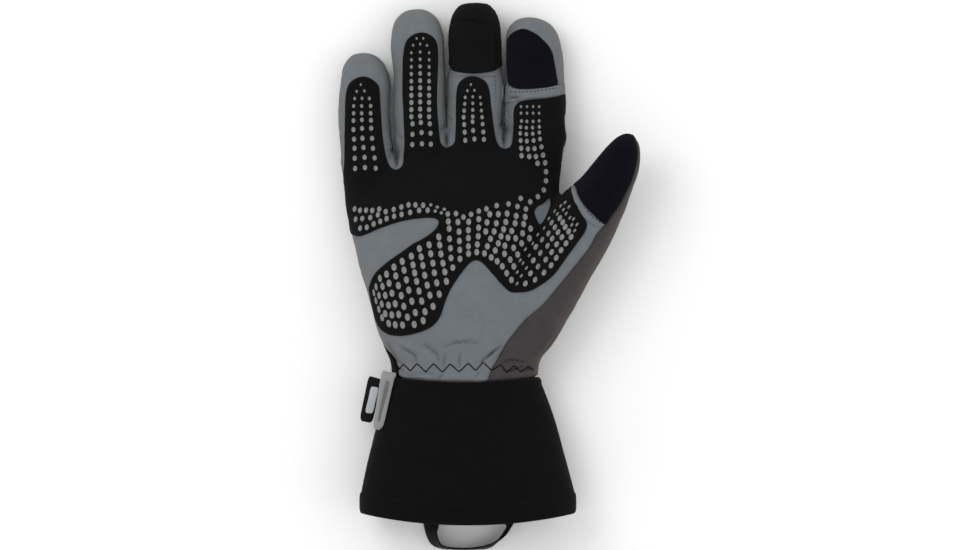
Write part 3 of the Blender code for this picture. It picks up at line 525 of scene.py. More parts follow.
height_above = above_seam(skin)
side_limit = OVERLAY_SIDE - height_above
cap_sides = [np.interp(skin[:, 1] * 1000, *zip(*line)) / 1000 for _, line in FINGER_GAPS[1:]]
data = np.column_stack([
    skin,
    normals_of(skin, skin_faces),
    height_above,
    within(CHARCOAL_EDGE, -height_above),
    np.maximum(within(OVERLAY_EDGE, side_limit), -outside(skin, curved(ISLAND_EDGE))),
    within(INDEX_PAD_EDGE, side_limit),
    within(INDEX_BAND_EDGE, side_limit),
    within(THUMB_PAD_EDGE, side_limit),
    within(THUMB_BAND_EDGE, side_limit),
    within(CAP_EDGE, np.maximum(cap_sides[0] - skin[:, 0], skin[:, 0] - cap_sides[1])),
])
faces = skin_faces
for level in SEAM_LINES:
    for column in (BACK, CHARCOAL):
        data, faces = split_along(data, faces, column, level)
for column in (OVERLAY, INDEX_PAD, THUMB_PAD, CAP):
    for level in EDGE_LINES:
        data, faces = split_along(data, faces, column, level)
for column in (INDEX_BAND, THUMB_BAND):
    data, faces = split_along(data, faces, column)
data, faces = compacted(data, faces)
data = np.column_stack([data, data[:, 1] - (wrist_y - CUFF_TUCK + WRIST_TRIM)])
data, faces = split_along(data, faces, WRIST_CUT)
faces = faces[data[faces, WRIST_CUT].mean(1) > 0]
data, faces = compacted(data, faces)

skin = data[:, POINT].copy()
normal = data[:, NORMAL] / np.linalg.norm(data[:, NORMAL], axis=1)[:, None]


def faces_in(*columns):
    """The faces that lie inside the edges of every named column; a minus sign takes those outside it."""
    keep = np.ones(len(faces), bool)
    for column in columns:
        middle = data[faces, abs(column)].mean(1)
        keep &= middle < 0 if column > 0 else middle > 0
    return faces[keep]


def valley(distance, depth, width):
    """How far the surface sinks beside a seam."""
    return -depth * np.exp(-((distance / width) ** 2))


# The hand slips into the cuff, whose upper edge bows down across the wrist.
CUFF_TOP_BOW = 0.0027
CUFF_TOP_HALF = 0.04025
CUFF_GRIP = 0.0019
FLOOR = 0.0001
CAP_FLOOR = 0.0021


def cuff_line(x):
    """Where the cuff's upper edge lies along the glove."""
    return CUFF_TOP - CUFF_TOP_BOW * (1 - np.minimum((x / CUFF_TOP_HALF) ** 2, 1.0))


# The folds that wearing and the wrist's elastic leave in the leather and the cloth, each a valley with a low
# ridge beside it, and the finer ripples of the whole skin. Painted shade darkens the colour along each fold's
# valley and along the seams.
FOLD_DEPTH = 0.0015
RIDGE_SHARE = 0.45
RIDGE_OFFSET = 0.0022
RIDGE_WIDTH = 0.0012
FOLD_SHADE = 1.3
SHADE_WIDTH = 0.0005
SEAM_SHADES = ((CHARCOAL, 0.6), (BACK, 0.8))
SEAM_VALLEY = (0.0006, 0.0007)
TUCK_RUN = (-0.0006, 0.0016)
CAP_RUN = (-0.004, 0.0)
RIPPLES = (
    # how many to a metre, and their height
    (85.0, 0.00032),
    (240.0, 0.00012),
)
FOLDS = (
    # depth and width in millimetres, then the fold's line on the plan
    # wrist gathers
    (0.5, 1.0, ((-42.9, -37.1), (-37.1, -46.5), (-33.6, -49.4))),
    (0.6, 1.0, ((-35.8, -38.8), (-27.5, -43.6), (-26.2, -48.1))),
    (0.55, 1.2, ((-23.1, -37.0), (-14.6, -43.6), (-14.3, -48.3))),
    (0.5, 0.9, ((-11.3, -39.2), (-6.2, -37.0), (1.9, -36.2), (8.2, -37.0))),
    (0.4, 1.2, ((-2.9, -42.8), (-3.3, -50.9))),
    (0.8, 0.8, ((20.1, -38.4), (13.5, -43.6), (8.2, -48.3))),
    (0.35, 0.9, ((-31.9, -54.6), (-17.2, -53.5))),
    (0.4, 0.8, ((-12.1, -53.9), (-14.3, -56.8))),
    (0.4, 0.8, ((8.0, -52.5), (5.8, -56.3))),
    (0.4, 0.8, ((-39.1, -49.2), (-30.8, -54.7))),
    (0.4, 1.2, ((-10.5, -42.1), (-11.8, -50.9))),
    # folds of the charcoal cloth
    (0.8, 0.9, ((19.2, -47.6), (24.5, -46.5), (34.7, -47.2))),
    (0.7, 0.9, ((22.6, -53.1), (32.5, -49.4))),
    (0.6, 0.8, ((29.7, -52.8), (37.7, -50.2))),
    (0.5, 1.2, ((44.0, -42.1), (48.4, -36.0), (52.3, -30.0))),
    # crotches of the fingers
    (0.9, 0.9, ((-38.2, 59.1), (-37.7, 63.0), (-37.1, 69.0))),
    (0.9, 0.9, ((-10.2, 70.1), (-10.1, 74.5), (-10.2, 78.9))),
    (0.9, 0.9, ((21.5, 69.6), (21.6, 74.5), (21.7, 78.9))),
    (0.35, 1.0, ((-41.2, 67.9), (-38.0, 71.2))),
    (0.35, 1.0, ((-34.1, 74.5), (-37.4, 77.8))),
    (0.3, 0.9, ((-13.2, 80.0), (-10.5, 82.8))),
    (0.3, 0.9, ((-7.2, 85.0), (-9.9, 87.7))),
    (0.3, 0.9, ((18.7, 81.1), (21.5, 84.4))),
    (0.3, 0.9, ((24.8, 86.1), (22.0, 89.4))),
    # cap and its gray band
    (0.5, 0.6, ((-6.1, 138.3), (-1.7, 139.6), (3.3, 140.0), (8.8, 138.3), (14.3, 135.6))),
    (0.5, 0.6, ((15.4, 136.7), (16.2, 126.8), (16.5, 114.7))),
    (0.35, 0.9, ((-7.2, 109.5), (5.5, 109.7), (18.2, 109.2))),
    (0.5, 0.8, ((24.2, 97.6), (31.4, 98.0))),
    # thumb's root
    (0.35, 1.6, ((41.8, 27.2), (34.1, 9.6), (24.8, -8.0))),
)


def along_line(points, line):
    """Distance on the plan from an open line, and the share of the line's length beside each point."""
    line = np.array(line) / 1000
    steps = np.linalg.norm(np.diff(line, axis=0), axis=1)
    nearest, share = np.full(len(points), 1e9), np.zeros(len(points))
    passed = 0.0
    for start, end, step in zip(line[:-1], line[1:], steps):
        at = np.clip(((points[:, :2] - start) @ (end - start)) / step**2, 0, 1)
        gap = np.linalg.norm(points[:, :2] - start - at[:, None] * (end - start), axis=1)
        closer = gap < nearest
        nearest = np.where(closer, gap, nearest)
        share = np.where(closer, (passed + at * step) / steps.sum(), share)
        passed += step
    return nearest, share


relief, crease = np.zeros(len(skin)), np.zeros(len(skin))
for depth, width, line in FOLDS:
    gap, share = along_line(skin, line)
    fade = np.sqrt(np.clip(4 * share * (1 - share), 0, 1)) * (normal[:, 2] > 0)
    relief += valley(gap, depth * FOLD_DEPTH, width / 1000) * fade
    relief -= valley(gap - width * RIDGE_OFFSET, depth * FOLD_DEPTH * RIDGE_SHARE, width * RIDGE_WIDTH) * fade
    # painted shade: the colour is darkened along the fold's valley
    crease -= valley(gap, depth * FOLD_SHADE, width * SHADE_WIDTH) * fade
for spot, place in enumerate(skin.tolist()):
    relief[spot] += sum(height * noise.noise(Vector(place) * scale) for scale, height in RIPPLES)
relief += valley(data[:, CHARCOAL], *SEAM_VALLEY) * (data[:, BACK] > 0)
relief += valley(data[:, BACK], *SEAM_VALLEY) * (data[:, CAP] > 0)
relief -= CUFF_GRIP * (1 - ramp(skin[:, 1] - cuff_line(skin[:, 0]), *TUCK_RUN))
# painted shade along the seams of the charcoal panel and of the back of the hand
for column, strength in SEAM_SHADES:
    crease -= valley(data[:, column], strength, SHADE_WIDTH)
skin += normal * relief[:, None]
skin[:, 2] = np.maximum(skin[:, 2], FLOOR + CAP_FLOOR * ramp(-data[:, CAP], *CAP_RUN))
crease = np.clip(crease, 0, 1)
inner = skin - normal * WALL


def effect_group(name, inputs, outputs):
    """A shader node group with its named sockets."""
    group = bpy.data.node_groups.new(name, "ShaderNodeTree")
    for label, kind, value in inputs:
        group.interface.new_socket(label, in_out="INPUT", socket_type=kind).default_value = value
    for label, kind in outputs:
        group.interface.new_socket(label, in_out="OUTPUT", socket_type=kind)
    return group


def node_of(tree, kind, **settings):
    made = tree.nodes.new(kind)
    for name, value in settings.items():
        setattr(made, name, value)
    return made


def joined(tree, *links):
    """Links nodes, each link told by a node, its output, the next node and its input."""
    for start, output, end, entrance in links:
        tree.links.new(start.outputs[output], end.inputs[entrance])


# Leather and cloth share one effect: a fine grain in the surface, cloudy shades, painted light that turns the
# colour lighter and warmer where the surface turns away from the eye, as the table's bounce light would, and
# painted shade that darkens the colour in the creases and along the seams, read from the crease attribute.
grain_effect = effect_group(
    "cloth_and_leather",
    (("Colour", "NodeSocketColor", (0.1, 0.1, 0.1, 1)),
     ("Edge Colour", "NodeSocketColor", (0.1, 0.1, 0.1, 1)),
     ("Grain Scale", "NodeSocketFloat", 1500.0), ("Grain Depth", "NodeSocketFloat", 0.0001),
     ("Mottle", "NodeSocketFloat", 0.1), ("Weave Scale", "NodeSocketFloat", 900.0),
     ("Weave Depth", "NodeSocketFloat", 0.0)),
    (("Colour", "NodeSocketColor"), ("Normal", "NodeSocketVector")))
entry, leave = node_of(grain_effect, "NodeGroupInput"), node_of(grain_effect, "NodeGroupOutput")
place = node_of(grain_effect, "ShaderNodeTexCoord")
fine = node_of(grain_effect, "ShaderNodeTexNoise")
cloud = node_of(grain_effect, "ShaderNodeTexNoise")
for label, value in (("Scale", 130.0), ("Detail", 5.0), ("Roughness", 0.7)):
    cloud.inputs[label].default_value = value
weave = node_of(grain_effect, "ShaderNodeTexWave", bands_direction="DIAGONAL")
weave.inputs["Distortion"].default_value = 0.6
grain_bump, weave_bump = (node_of(grain_effect, "ShaderNodeBump") for _ in range(2))
# painted light: the side light colour takes over where the surface turns away from the eye
edge = node_of(grain_effect, "ShaderNodeLayerWeight")
edge.inputs["Blend"].default_value = 0.35
tone = node_of(grain_effect, "ShaderNodeMix", data_type="RGBA")
less = node_of(grain_effect, "ShaderNodeMath", operation="SUBTRACT")
less.inputs[1].default_value = 0.5
shade = node_of(grain_effect, "ShaderNodeMath", operation="MULTIPLY_ADD")
shade.inputs[2].default_value = 1.0
# painted shade: the crease attribute darkens the colour in the creases and along the seams
painted_shade_reader = node_of(grain_effect, "ShaderNodeAttribute", attribute_name="crease")
dim = node_of(grain_effect, "ShaderNodeMath", operation="MULTIPLY_ADD")
dim.inputs[1].default_value = -0.65
lift = node_of(grain_effect, "ShaderNodeVectorMath", operation="SCALE")
joined(
    grain_effect,
    (place, "Object", fine, "Vector"), (place, "Object", cloud, "Vector"), (place, "Object", weave, "Vector"),
    (entry, "Grain Scale", fine, "Scale"), (entry, "Weave Scale", weave, "Scale"),
    (fine, "Fac", grain_bump, "Height"), (entry, "Grain Depth", grain_bump, "Distance"),
    (weave, "Fac", weave_bump, "Height"), (entry, "Weave Depth", weave_bump, "Distance"),
    (weave_bump, "Normal", grain_bump, "Normal"), (grain_bump, "Normal", leave, "Normal"),
    (edge, "Facing", tone, "Factor"), (entry, "Colour", tone, 6), (entry, "Edge Colour", tone, 7),
    (cloud, "Fac", less, 0), (less, 0, shade, 0), (entry, "Mottle", shade, 1),
    (painted_shade_reader, "Fac", dim, 0), (shade, 0, dim, 2),
    (tone, 2, lift, 0), (dim, 0, lift, "Scale"), (lift, 0, leave, "Colour"),
)


def grained(name, colour, side_light_colour, roughness, specular, **amounts):
    """A material whose colour and surface come from the shared grain effect."""
    made = plain_material(name, colour, roughness, specular)
    tree = made.node_tree
    effect = node_of(tree, "ShaderNodeGroup", node_tree=grain_effect)
    effect.inputs["Colour"].default_value = (*colour, 1.0)
    effect.inputs["Edge Colour"].default_value = (*side_light_colour, 1.0)
    for label, value in amounts.items():
        effect.inputs[label.replace("_", " ")].default_value = value
    shader = tree.nodes["Principled BSDF"]
    joined(tree, (effect, "Colour", shader, "Base Color"), (effect, "Normal", shader, "Normal"))
    return made


# Each material's second colour is its painted side light, mostly lighter and warmer than its own colour.
gray_leather = grained("gray_leather", (0.140, 0.156, 0.170), (0.165, 0.160, 0.150), 0.75, 0.10,
                       Grain_Scale=1300.0, Grain_Depth=0.00016, Mottle=0.38)
charcoal_cloth = grained("charcoal_cloth", (0.050, 0.045, 0.049), (0.120, 0.105, 0.090), 0.9, 0.06,
                         Grain_Scale=2200.0, Grain_Depth=0.00012, Mottle=0.35)
black_softshell = grained("black_softshell", (0.0031, 0.0031, 0.0036), (0.011, 0.011, 0.012), 0.85, 0.07,
                          Grain_Scale=2600.0, Grain_Depth=0.00008, Mottle=0.6,
                          Weave_Scale=500.0, Weave_Depth=0.00008)
overlay_black = grained("overlay_black", (0.0036, 0.0036, 0.0036), (0.012, 0.012, 0.012), 0.8, 0.07,
                        Grain_Scale=1800.0, Grain_Depth=0.00012, Mottle=0.7)
pad_black = grained("pad_black", (0.0035, 0.0035, 0.0065), (0.012, 0.012, 0.017), 0.95, 0.06,
                    Grain_Scale=3000.0, Grain_Depth=0.00015, Mottle=0.8)

walled("palm_leather", skin, inner, faces_in(-BACK, -CHARCOAL), gray_leather, "gray_leather", "palm_shell")
walled("thumb_panel", skin, inner, faces_in(CHARCOAL), charcoal_cloth, "charcoal_cloth", "thumb_outer_panel")
walled("back_of_hand", skin, inner, faces_in(BACK), black_softshell, "black_softshell", "back_shell")


OVERLAY_HEIGHT = 0.0012
PAD_HEIGHT = 0.0010
BAND_HEIGHT = 0.0009
CAP_HEIGHT = 0.0019
LAYER_EDGE = 0.0010
BAND_EDGE = 0.0005
side_taper = 0.5 + 0.5 * ramp(normal[:, 2], 0.0, 0.5)


def layer(name, column, height, edge, surface, slot, *nodes):
    """A layer sewn on the skin inside one column's edge, with its edge rolled over at the top."""
    depth = np.clip(-data[:, column] / edge, 0.0, 1.0)
    rolled = height * (0.55 + 0.45 * np.sqrt(1 - (1 - depth) ** 2))
    upper = skin + normal * (rolled * side_taper)[:, None]
    return walled(name, upper, skin + normal * LAYER_BED, faces_in(column), surface, slot, *nodes)


layer("grip_overlay", OVERLAY, OVERLAY_HEIGHT, LAYER_EDGE, overlay_black, "overlay_black", "palm_overlay")
layer("index_touch_pad", INDEX_PAD, PAD_HEIGHT, LAYER_EDGE, pad_black, "pad_black", "index_pad")
layer("thumb_touch_pad", THUMB_PAD, PAD_HEIGHT, LAYER_EDGE, pad_black, "pad_black", "thumb_pad")
layer("index_stitch_band", INDEX_BAND, BAND_HEIGHT, BAND_EDGE, gray_leather, "gray_leather", "index_band")
layer("thumb_stitch_band", THUMB_BAND, BAND_HEIGHT, BAND_EDGE, gray_leather, "gray_leather", "thumb_band")
layer("fold_back_cap", CAP, CAP_HEIGHT, LAYER_EDGE, overlay_black, "overlay_black", "middle_cap")


# The cuff: a flared gauntlet of black softshell, open at the mouth. Its upper edge is turned in and laps over
# the hand, and its mouth ends in a hem that is folded over and stitched.
CUFF_LENGTH = 0.0627
CUFF_MOUTH_HALF = 0.0585
CUFF_HEIGHTS = (0.03705, 0.047)
CUFF_MOUTH_BOW = 0.0060
CUFF_SHIFT = 0.0016
CUFF_WALL = 0.0024
CUFF_SWELL = 0.0013
HEM_HEIGHT = 0.0118
HEM_PROUD = 0.0011
CUFF_TURNS = 180
CUFF_RUN = 1.015
CUFF_ROUNDNESS = 2 / 2.4
UNDERSIDE_REACH = 1.22
EDGE_ROLL = ((0, 0.0002), (0.0006, 0.0006), (0.0022, 0.0006), (0.0030, 0.0))


def squarish(values, power):
    """Sines or cosines drawn towards 1 and -1, so that a circle becomes a rounded box."""
    return np.sign(values) * np.abs(values) ** power


def cuff_point(turn, along, grow, beyond=0.0):
    """A point of the cuff: turn runs round it from the thumb side over the top, along from wrist to hem."""
    c, s = np.cos(turn), np.sin(turn)
    swell = CUFF_SWELL * np.sin(np.pi * np.clip(along, 0, 1) ** 0.8)
    half = CUFF_TOP_HALF + (CUFF_MOUTH_HALF - CUFF_TOP_HALF) * along + grow + swell
    high = CUFF_HEIGHTS[0] + (CUFF_HEIGHTS[1] - CUFF_HEIGHTS[0]) * along
    x = half * squarish(c, CUFF_ROUNDNESS)
    middle = high / 2
    rise = np.abs(s) ** CUFF_ROUNDNESS
    above = middle + (middle + grow) * rise
    below = middle - (middle + np.minimum(grow, 0)) * np.minimum(1, UNDERSIDE_REACH * rise)
    z = np.where(s > 0, above, below)
    bow = CUFF_TOP_BOW + (CUFF_MOUTH_BOW - CUFF_TOP_BOW) * along
    y = CUFF_TOP - CUFF_LENGTH * along - beyond - bow * (1 - (x / half) ** 2)
    return np.stack([CUFF_SHIFT * along + x, y, z], -1)


def ringed(name, rings, surface, slot, *nodes):
    """A closed band through rings of points, the last ring joined to the first."""
    count = rings.shape[1]
    k, n = np.meshgrid(np.arange(len(rings)), np.arange(count), indexing="ij")
    a, b = k * count + n, k * count + (n + 1) % count
    c, d = ((k + 1) % len(rings)) * count + (n + 1) % count, ((k + 1) % len(rings)) * count + n
    faces = np.concatenate([np.stack([a, b, c], -1).reshape(-1, 3), np.stack([a, c, d], -1).reshape(-1, 3)])
    points = rings.reshape(-1, 3)
    middle = points[faces].mean(1)
    across = np.cross(points[faces[:, 1]] - points[faces[:, 0]], points[faces[:, 2]] - points[faces[:, 0]])
    if (middle * across).sum() < 0:
        faces = faces[:, ::-1]
    return placed(name, mesh_from(name, points, faces), surface, slot, *nodes)


def cuff_waves(turn, along):
    """Shallow waves that the softshell falls into below the wrist, strongest near the gathers."""
    fade = np.exp(-along * 3.0)
    across = np.sin(7 * turn + 0.8) * 0.5 + np.sin(11 * turn + 2.1) * 0.5
    return 0.0005 * fade * across + 0.0004 * np.sin(3 * turn + 5 * along) * np.sin(np.pi * along)


turns = np.linspace(0, 2 * np.pi, CUFF_TURNS, endpoint=False)
rings = []
for at in np.linspace(0.0, CUFF_RUN, 58):
    roll = np.interp(at * CUFF_LENGTH, *zip(*EDGE_ROLL))
    rings.append(cuff_point(turns, at, roll + cuff_waves(turns, at) * (np.sin(turns) > 0)))
rings += [cuff_point(turns, at, -CUFF_WALL) for at in np.linspace(CUFF_RUN, 0.0, 24)]
rings += [cuff_point(turns, 0.0, -CUFF_WALL / 2)]
ringed("gauntlet_cuff", np.array(rings), black_softshell, "black_softshell", "cuff_tube")

rings = []
for roll in np.linspace(0, 2 * np.pi, 30, endpoint=False):
    out = (CUFF_WALL / 2 + HEM_PROUD) * squarish(np.cos(roll), 0.45) - CUFF_WALL / 2
    down = 0.5 - 0.5 * squarish(np.sin(roll), 0.6)
    rings.append(cuff_point(turns, 1.0, out, 0.0003 + HEM_HEIGHT * down))
hem = ringed("cuff_hem_fold", np.array(rings), black_softshell, "black_softshell", "cuff_hem")


# The grip dots: raised silicone dots with a dished top, in files along the fingers and in rows that fan out
# over the palm. They and the stitches are stamped on the surface by one node tree.
DOT_HEIGHT = 0.00045
DOT_SHRINK = 0.48
FLANK_LOSS = 0.45
FLANK_RUN = (42.0, 51.0)
FLANK_TOP = 25.0
TIP_RUN = 34.0
DOT_FINGER_TIPS = ((-56, 109), (-25, 134), (4.5, 108), (36, 95))
DOT_PROFILE = ((1.0, -0.3), (0.97, 0.45), (0.80, 1.0), (0.62, 0.9), (0.40, 0.45), (0.0, 0.35))
DOTS = (
    # width, height and turn in degrees, then the places on the plan, all lengths in millimetres
    # index and arc
    ((2.7, 3.3, 0), (
        (30.8, 92.7), (34.1, 92.7), (37.4, 92.7), (40.7, 92.7), (30.8, 89.1), (34.1, 89.1), (37.4, 89.1),
        (40.7, 89.1), (40.7, 84.9), (31.1, 84.8), (34, 84.6), (37.4, 84.6), (40.8, 81.6), (30.6, 81.5),
        (37.1, 81.2), (33.7, 81.1), (40.8, 78.5), (30.4, 78.1), (37.2, 77.8), (33.7, 77.6), (41.2, 74.9),
        (30.6, 74.1), (37.7, 74.1), (34, 73.8), (42, 70.6), (30.9, 69.9), (38.2, 69.7), (34.6, 69.5),
        (42.9, 66.1), (31.1, 65.8), (35.3, 65.3), (39, 65.3), (44, 61.9), (39.9, 61.6), (44.5, 57),
        (44.5, 52), (43.3, 46.9), (40, 43.2), (30.6, 42.3), (35.8, 40.4), (23.9, 39.2), (17.4, 38.3),
        (28.8, 37.8), (11.8, 36.5), (33.4, 36.4), (7.6, 35.3), (-4.9, 33.9), (-9.4, 33.7), (3.4, 33.5),
        (-0.8, 32),
    )),
    # small
    ((2.0, 2.0, 0), (
        (-18.7, 38.7), (-15.1, 37.5), (-11.3, 36.3), (-16.3, 35.3), (-12.9, 34.3),
    )),
    # palm
    ((2.9, 3.8, 0), (
        (23.1, 33.9), (13.6, 33.6), (18.3, 33.6), (28.1, 32.6), (33, 32.1), (7.6, 30.9), (-9.1, 29.6),
        (2.1, 29.4), (-3.8, 29.3), (22.4, 29.3), (12.1, 29.1), (17.2, 28.6), (27.5, 28.6), (32.2, 28.2),
        (7.5, 26.2), (-8.6, 25.7), (36, 25.7), (21.2, 25.3), (1.9, 24.8), (25.7, 24.4), (11.4, 24.1),
        (16, 24.1), (-3.2, 24), (31.6, 23.1), (7.3, 21.5), (19.8, 21.5), (23.6, 20.7), (1.9, 20.5),
        (27.8, 20.4), (35.4, 20.4), (-8.4, 20.1), (14, 20.1), (-3, 18.9), (18.3, 17.6), (31.1, 17.6),
        (6.8, 17), (21.9, 16.3), (1.9, 16), (12.3, 16), (26.7, 15.2), (-7.9, 14.9), (-2.8, 14),
        (16.6, 13.7), (6.5, 12.8), (10.7, 12.1), (2, 12), (21.7, 11.9), (28.9, 11.5), (14.4, 9.9),
        (-7.6, 9.6), (-2.7, 9.1), (24.8, 8.7), (17.7, 7.8), (20.5, 5), (26.8, 5), (-6.6, 4.3), (22.9, 1.3),
        (25.5, -2.4),
    )),
    # thumb
    ((2.7, 3.6, -24), (
        (52, 31.4), (53.6, 29.1), (47.6, 28.9), (54.9, 26.5), (49.3, 26.4), (56.8, 24.1), (51, 23.7),
        (45.8, 23), (58.1, 21.1), (53.1, 21), (47.8, 20.2), (42.4, 19.6), (55.3, 17.6), (50.2, 17.1),
        (45.3, 16.3), (38.9, 15.7), (52.6, 13.9), (47.5, 12.8), (41.4, 12.3), (50, 9.7), (44.3, 8.7),
        (37.5, 8.3), (47.2, 5.6), (40.1, 4.9), (43.3, 1.6), (35.9, 1.2), (38.5, -2.3), (33.1, -4.4),
    )),
    # slits
    ((1.3, 2.5, -35), (
        (54.9, 39.9), (52.6, 38.1), (57, 37.5), (54, 36), (49.3, 35.2), (55.5, 33.9), (50.8, 33.6),
        (57.5, 31.6), (46.2, 31.2), (59.5, 30.9), (61.3, 27.9), (58.5, 27.7), (43.6, 26), (60.1, 24.6),
        (39.9, 22.4), (37.1, 17.6), (33.1, 14.4), (35.2, 11.1), (30.2, 8.4), (31.7, 6.8), (33.7, 4.1),
        (28.6, 1.9), (30.9, -0.2), (28.6, -4.4),
    )),
    # heel
    ((3.0, 4.2, 8), (
        (-14.3, 21.1), (-19.6, 16.8), (-13.8, 16.7), (-24.9, 14.7), (-18.7, 11.9), (-13.1, 11.8),
        (-29.3, 10.6), (-23.9, 10.2), (-34.3, 7.7), (-17.5, 6.7), (-12, 6.7), (-28.4, 5.8), (-23, 5.5),
        (-38.8, 4.6), (-33.3, 2.9), (-11, 2), (-16.7, 1.5), (-27.5, 1.4), (-42.9, 0.7), (-22, 0.1),
        (-37.8, -0.2), (-46.5, -1.6), (-32, -2.4), (-26.4, -3.2), (-10.1, -3.2), (-15.4, -4),
        (-41.5, -4.2), (-20.6, -5.3), (-36.4, -5.5), (-45.1, -6), (-48.6, -6.2), (-30.7, -8),
        (-25.1, -8.5), (-49.8, -9.5), (-39.9, -9.7), (-14, -10.2), (-19.1, -10.8), (-47, -10.9),
        (-43.6, -10.9), (-34.8, -11), (-48.7, -13.8), (-23.6, -14), (-29, -14.1), (-38.1, -15.5),
        (-45.5, -15.6), (-41.8, -16.3), (-33.4, -16.9), (-17.4, -16.9), (-47.1, -18.5), (-21.8, -19.8),
        (-27.1, -20.3), (-43.6, -20.9), (-36.2, -21.3), (-40, -21.6), (-31.4, -22.8), (-45.3, -23.1),
        (-22.8, -24.7), (-41.7, -26.3), (-27.7, -26.8), (-38.1, -27), (-34.1, -27.1),
    )),
    # bay band
    ((2.6, 3.4, 0), (
        (-30.9, 38.7), (-27.1, 38.7), (-22.9, 38.5), (-34.8, 37.5), (-60.6, 36.6), (-47, 36.4),
        (-39, 36.2), (-57.6, 35.8), (-54.2, 35.8), (-20.4, 35.8), (-50.8, 35.7), (-25.1, 35.7),
        (-43.4, 35), (-30, 34.6), (-34.7, 33.5), (-47.7, 33.3), (-38.8, 32.5), (-51.9, 31.8),
        (-56.3, 31.3), (-42.9, 31.2), (-60, 30.9), (-46.4, 29.7), (-50, 28.3), (-53.8, 26.5), (-57.5, 26),
    )),
    # fingers
    ((2.5, 3.1, 0), (
        (9.7, 83.1), (10.1, 78.8), (10.4, 74.7),
        (-22.9, 130.2), (-26.5, 130.1), (-24.6, 127), (-28.4, 126.4), (-20.9, 126.3), (-24.6, 122.7),
        (-29.4, 122.3), (-19.7, 122.3), (-24.6, 118.7), (-29.4, 118.4), (-19.7, 118.4), (-24.6, 114.8),
        (-29.4, 114.5), (-19.7, 114.5), (-24.6, 110.9), (-29.4, 110.6), (-19.7, 110.6), (-24.6, 107),
        (-29.4, 106.7), (-19.7, 106.7), (-57.2, 104.8), (3.3, 104.8), (-24.6, 103.1), (-29.4, 102.8),
        (-19.7, 102.8), (5.2, 101.7), (1.4, 101.5), (-55.2, 101.3), (-59.4, 101.1), (-24.6, 99.2),
        (-29.4, 98.9), (-19.7, 98.9), (4.3, 98.1), (0.2, 97.8), (8.4, 97.8), (-56.5, 97.3), (-60.5, 97.2),
        (-52.5, 97.2), (-24.6, 95.3), (-29.4, 95), (-19.7, 95), (4.3, 94.5), (-0.1, 94.2), (8.7, 94.2),
        (-61.1, 93.1), (-56.7, 93.1), (-51.8, 93.1), (-24.6, 91.4), (-29.4, 91.1), (-19.7, 91.1),
        (4.3, 90.9), (-0.4, 90.5), (9, 90.5), (-61.1, 89.1), (-56.7, 89.1), (-51.8, 89.1), (-24.6, 87.5),
        (-29.4, 87.2), (-19.7, 87.2), (4.3, 87.2), (-0.7, 86.9), (9.4, 86.9), (-56.6, 85.5), (-51.6, 85.2),
        (-61.2, 85.1), (4.2, 84.4), (-24.2, 84), (-28.8, 83.3), (-19.3, 83.3), (-0.4, 82.9), (-51.5, 80.9),
        (-56.5, 80.8), (-61.2, 80.1), (4.5, 79.6), (-0.1, 78.7), (-23.8, 78.5), (-18.9, 78.1),
        (-28.8, 77.5), (-56.3, 75.4), (-51, 75.3), (-60.9, 74.9), (5.2, 74.9), (0.2, 74.2), (-23.6, 72.3),
        (-18.7, 72.1), (-28.9, 71.9), (-55.7, 70.3), (-60.6, 69.9), (-50.5, 69.9), (-55.1, 64.9),
        (-49.6, 64.6), (-60.5, 64.4), (-54.9, 59.3), (-49, 58.9), (-60.3, 58.8),
    )),
)

STAMP_COLUMNS = ("facing", "along", "wide")
stamping = bpy.data.node_groups.new("stamping", "GeometryNodeTree")
for label, way, kind in (("Geometry", "INPUT", "Geometry"), ("Stamp", "INPUT", "Object"),
                         ("Surface", "INPUT", "Material"), ("Geometry", "OUTPUT", "Geometry")):
    stamping.interface.new_socket(label, in_out=way, socket_type="NodeSocket" + kind)
entry, leave = node_of(stamping, "NodeGroupInput"), node_of(stamping, "NodeGroupOutput")
stamp = node_of(stamping, "GeometryNodeObjectInfo")
readers = [node_of(stamping, "GeometryNodeInputNamedAttribute", data_type="FLOAT_VECTOR") for _ in range(3)]
for reader, label in zip(readers, STAMP_COLUMNS):
    reader.inputs["Name"].default_value = label
facing, along, wide = readers
upright = node_of(stamping, "FunctionNodeAlignRotationToVector", axis="Z")
turned = node_of(stamping, "FunctionNodeAlignRotationToVector", axis="Y", pivot_axis="Z")
spread = node_of(stamping, "GeometryNodeInstanceOnPoints")
real = node_of(stamping, "GeometryNodeRealizeInstances")
coat = node_of(stamping, "GeometryNodeSetMaterial")
joined(
    stamping,
    (entry, "Geometry", spread, "Points"), (entry, "Stamp", stamp, "Object"),
    (stamp, "Geometry", spread, "Instance"),
    (facing, 0, upright, "Vector"), (upright, 0, turned, "Rotation"), (along, 0, turned, "Vector"),
    (turned, 0, spread, "Rotation"), (wide, 0, spread, "Scale"), (spread, 0, real, 0),
    (real, 0, coat, "Geometry"), (entry, "Surface", coat, "Material"), (coat, 0, leave, "Geometry"),
)


def stamped(name, rows, shape, surface, slot):
    """Stamps one small shape on many places, each row a place, a facing, a direction and a size."""
    mesh = bpy.data.meshes.new(name)
    mesh.from_pydata([row[0] for row in rows], [], [])
    for column, label in enumerate(STAMP_COLUMNS, 1):
        spot = mesh.attributes.new(label, "FLOAT_VECTOR", "POINT")
        spot.data.foreach_set("vector", np.array([tuple(row[column]) for row in rows], np.float32).ravel())
    obj, helper = bpy.data.objects.new(name, mesh), bpy.data.objects.new("stamp", shape)
    scene.collection.objects.link(obj)
    scene.collection.objects.link(helper)
    maker = obj.modifiers.new("stamping", "NODES")
    maker.node_group = stamping
    for label, value in (("Stamp", helper), ("Surface", surface)):
        maker[stamping.interface.items_tree[label].identifier] = value
    obj.update_tag()
    made = bpy.data.meshes.new_from_object(obj.evaluated_get(bpy.context.evaluated_depsgraph_get()))
    made.name = name
    for unwanted in (obj, helper):
        bpy.data.objects.remove(unwanted)
    return placed(name, made, surface, slot)


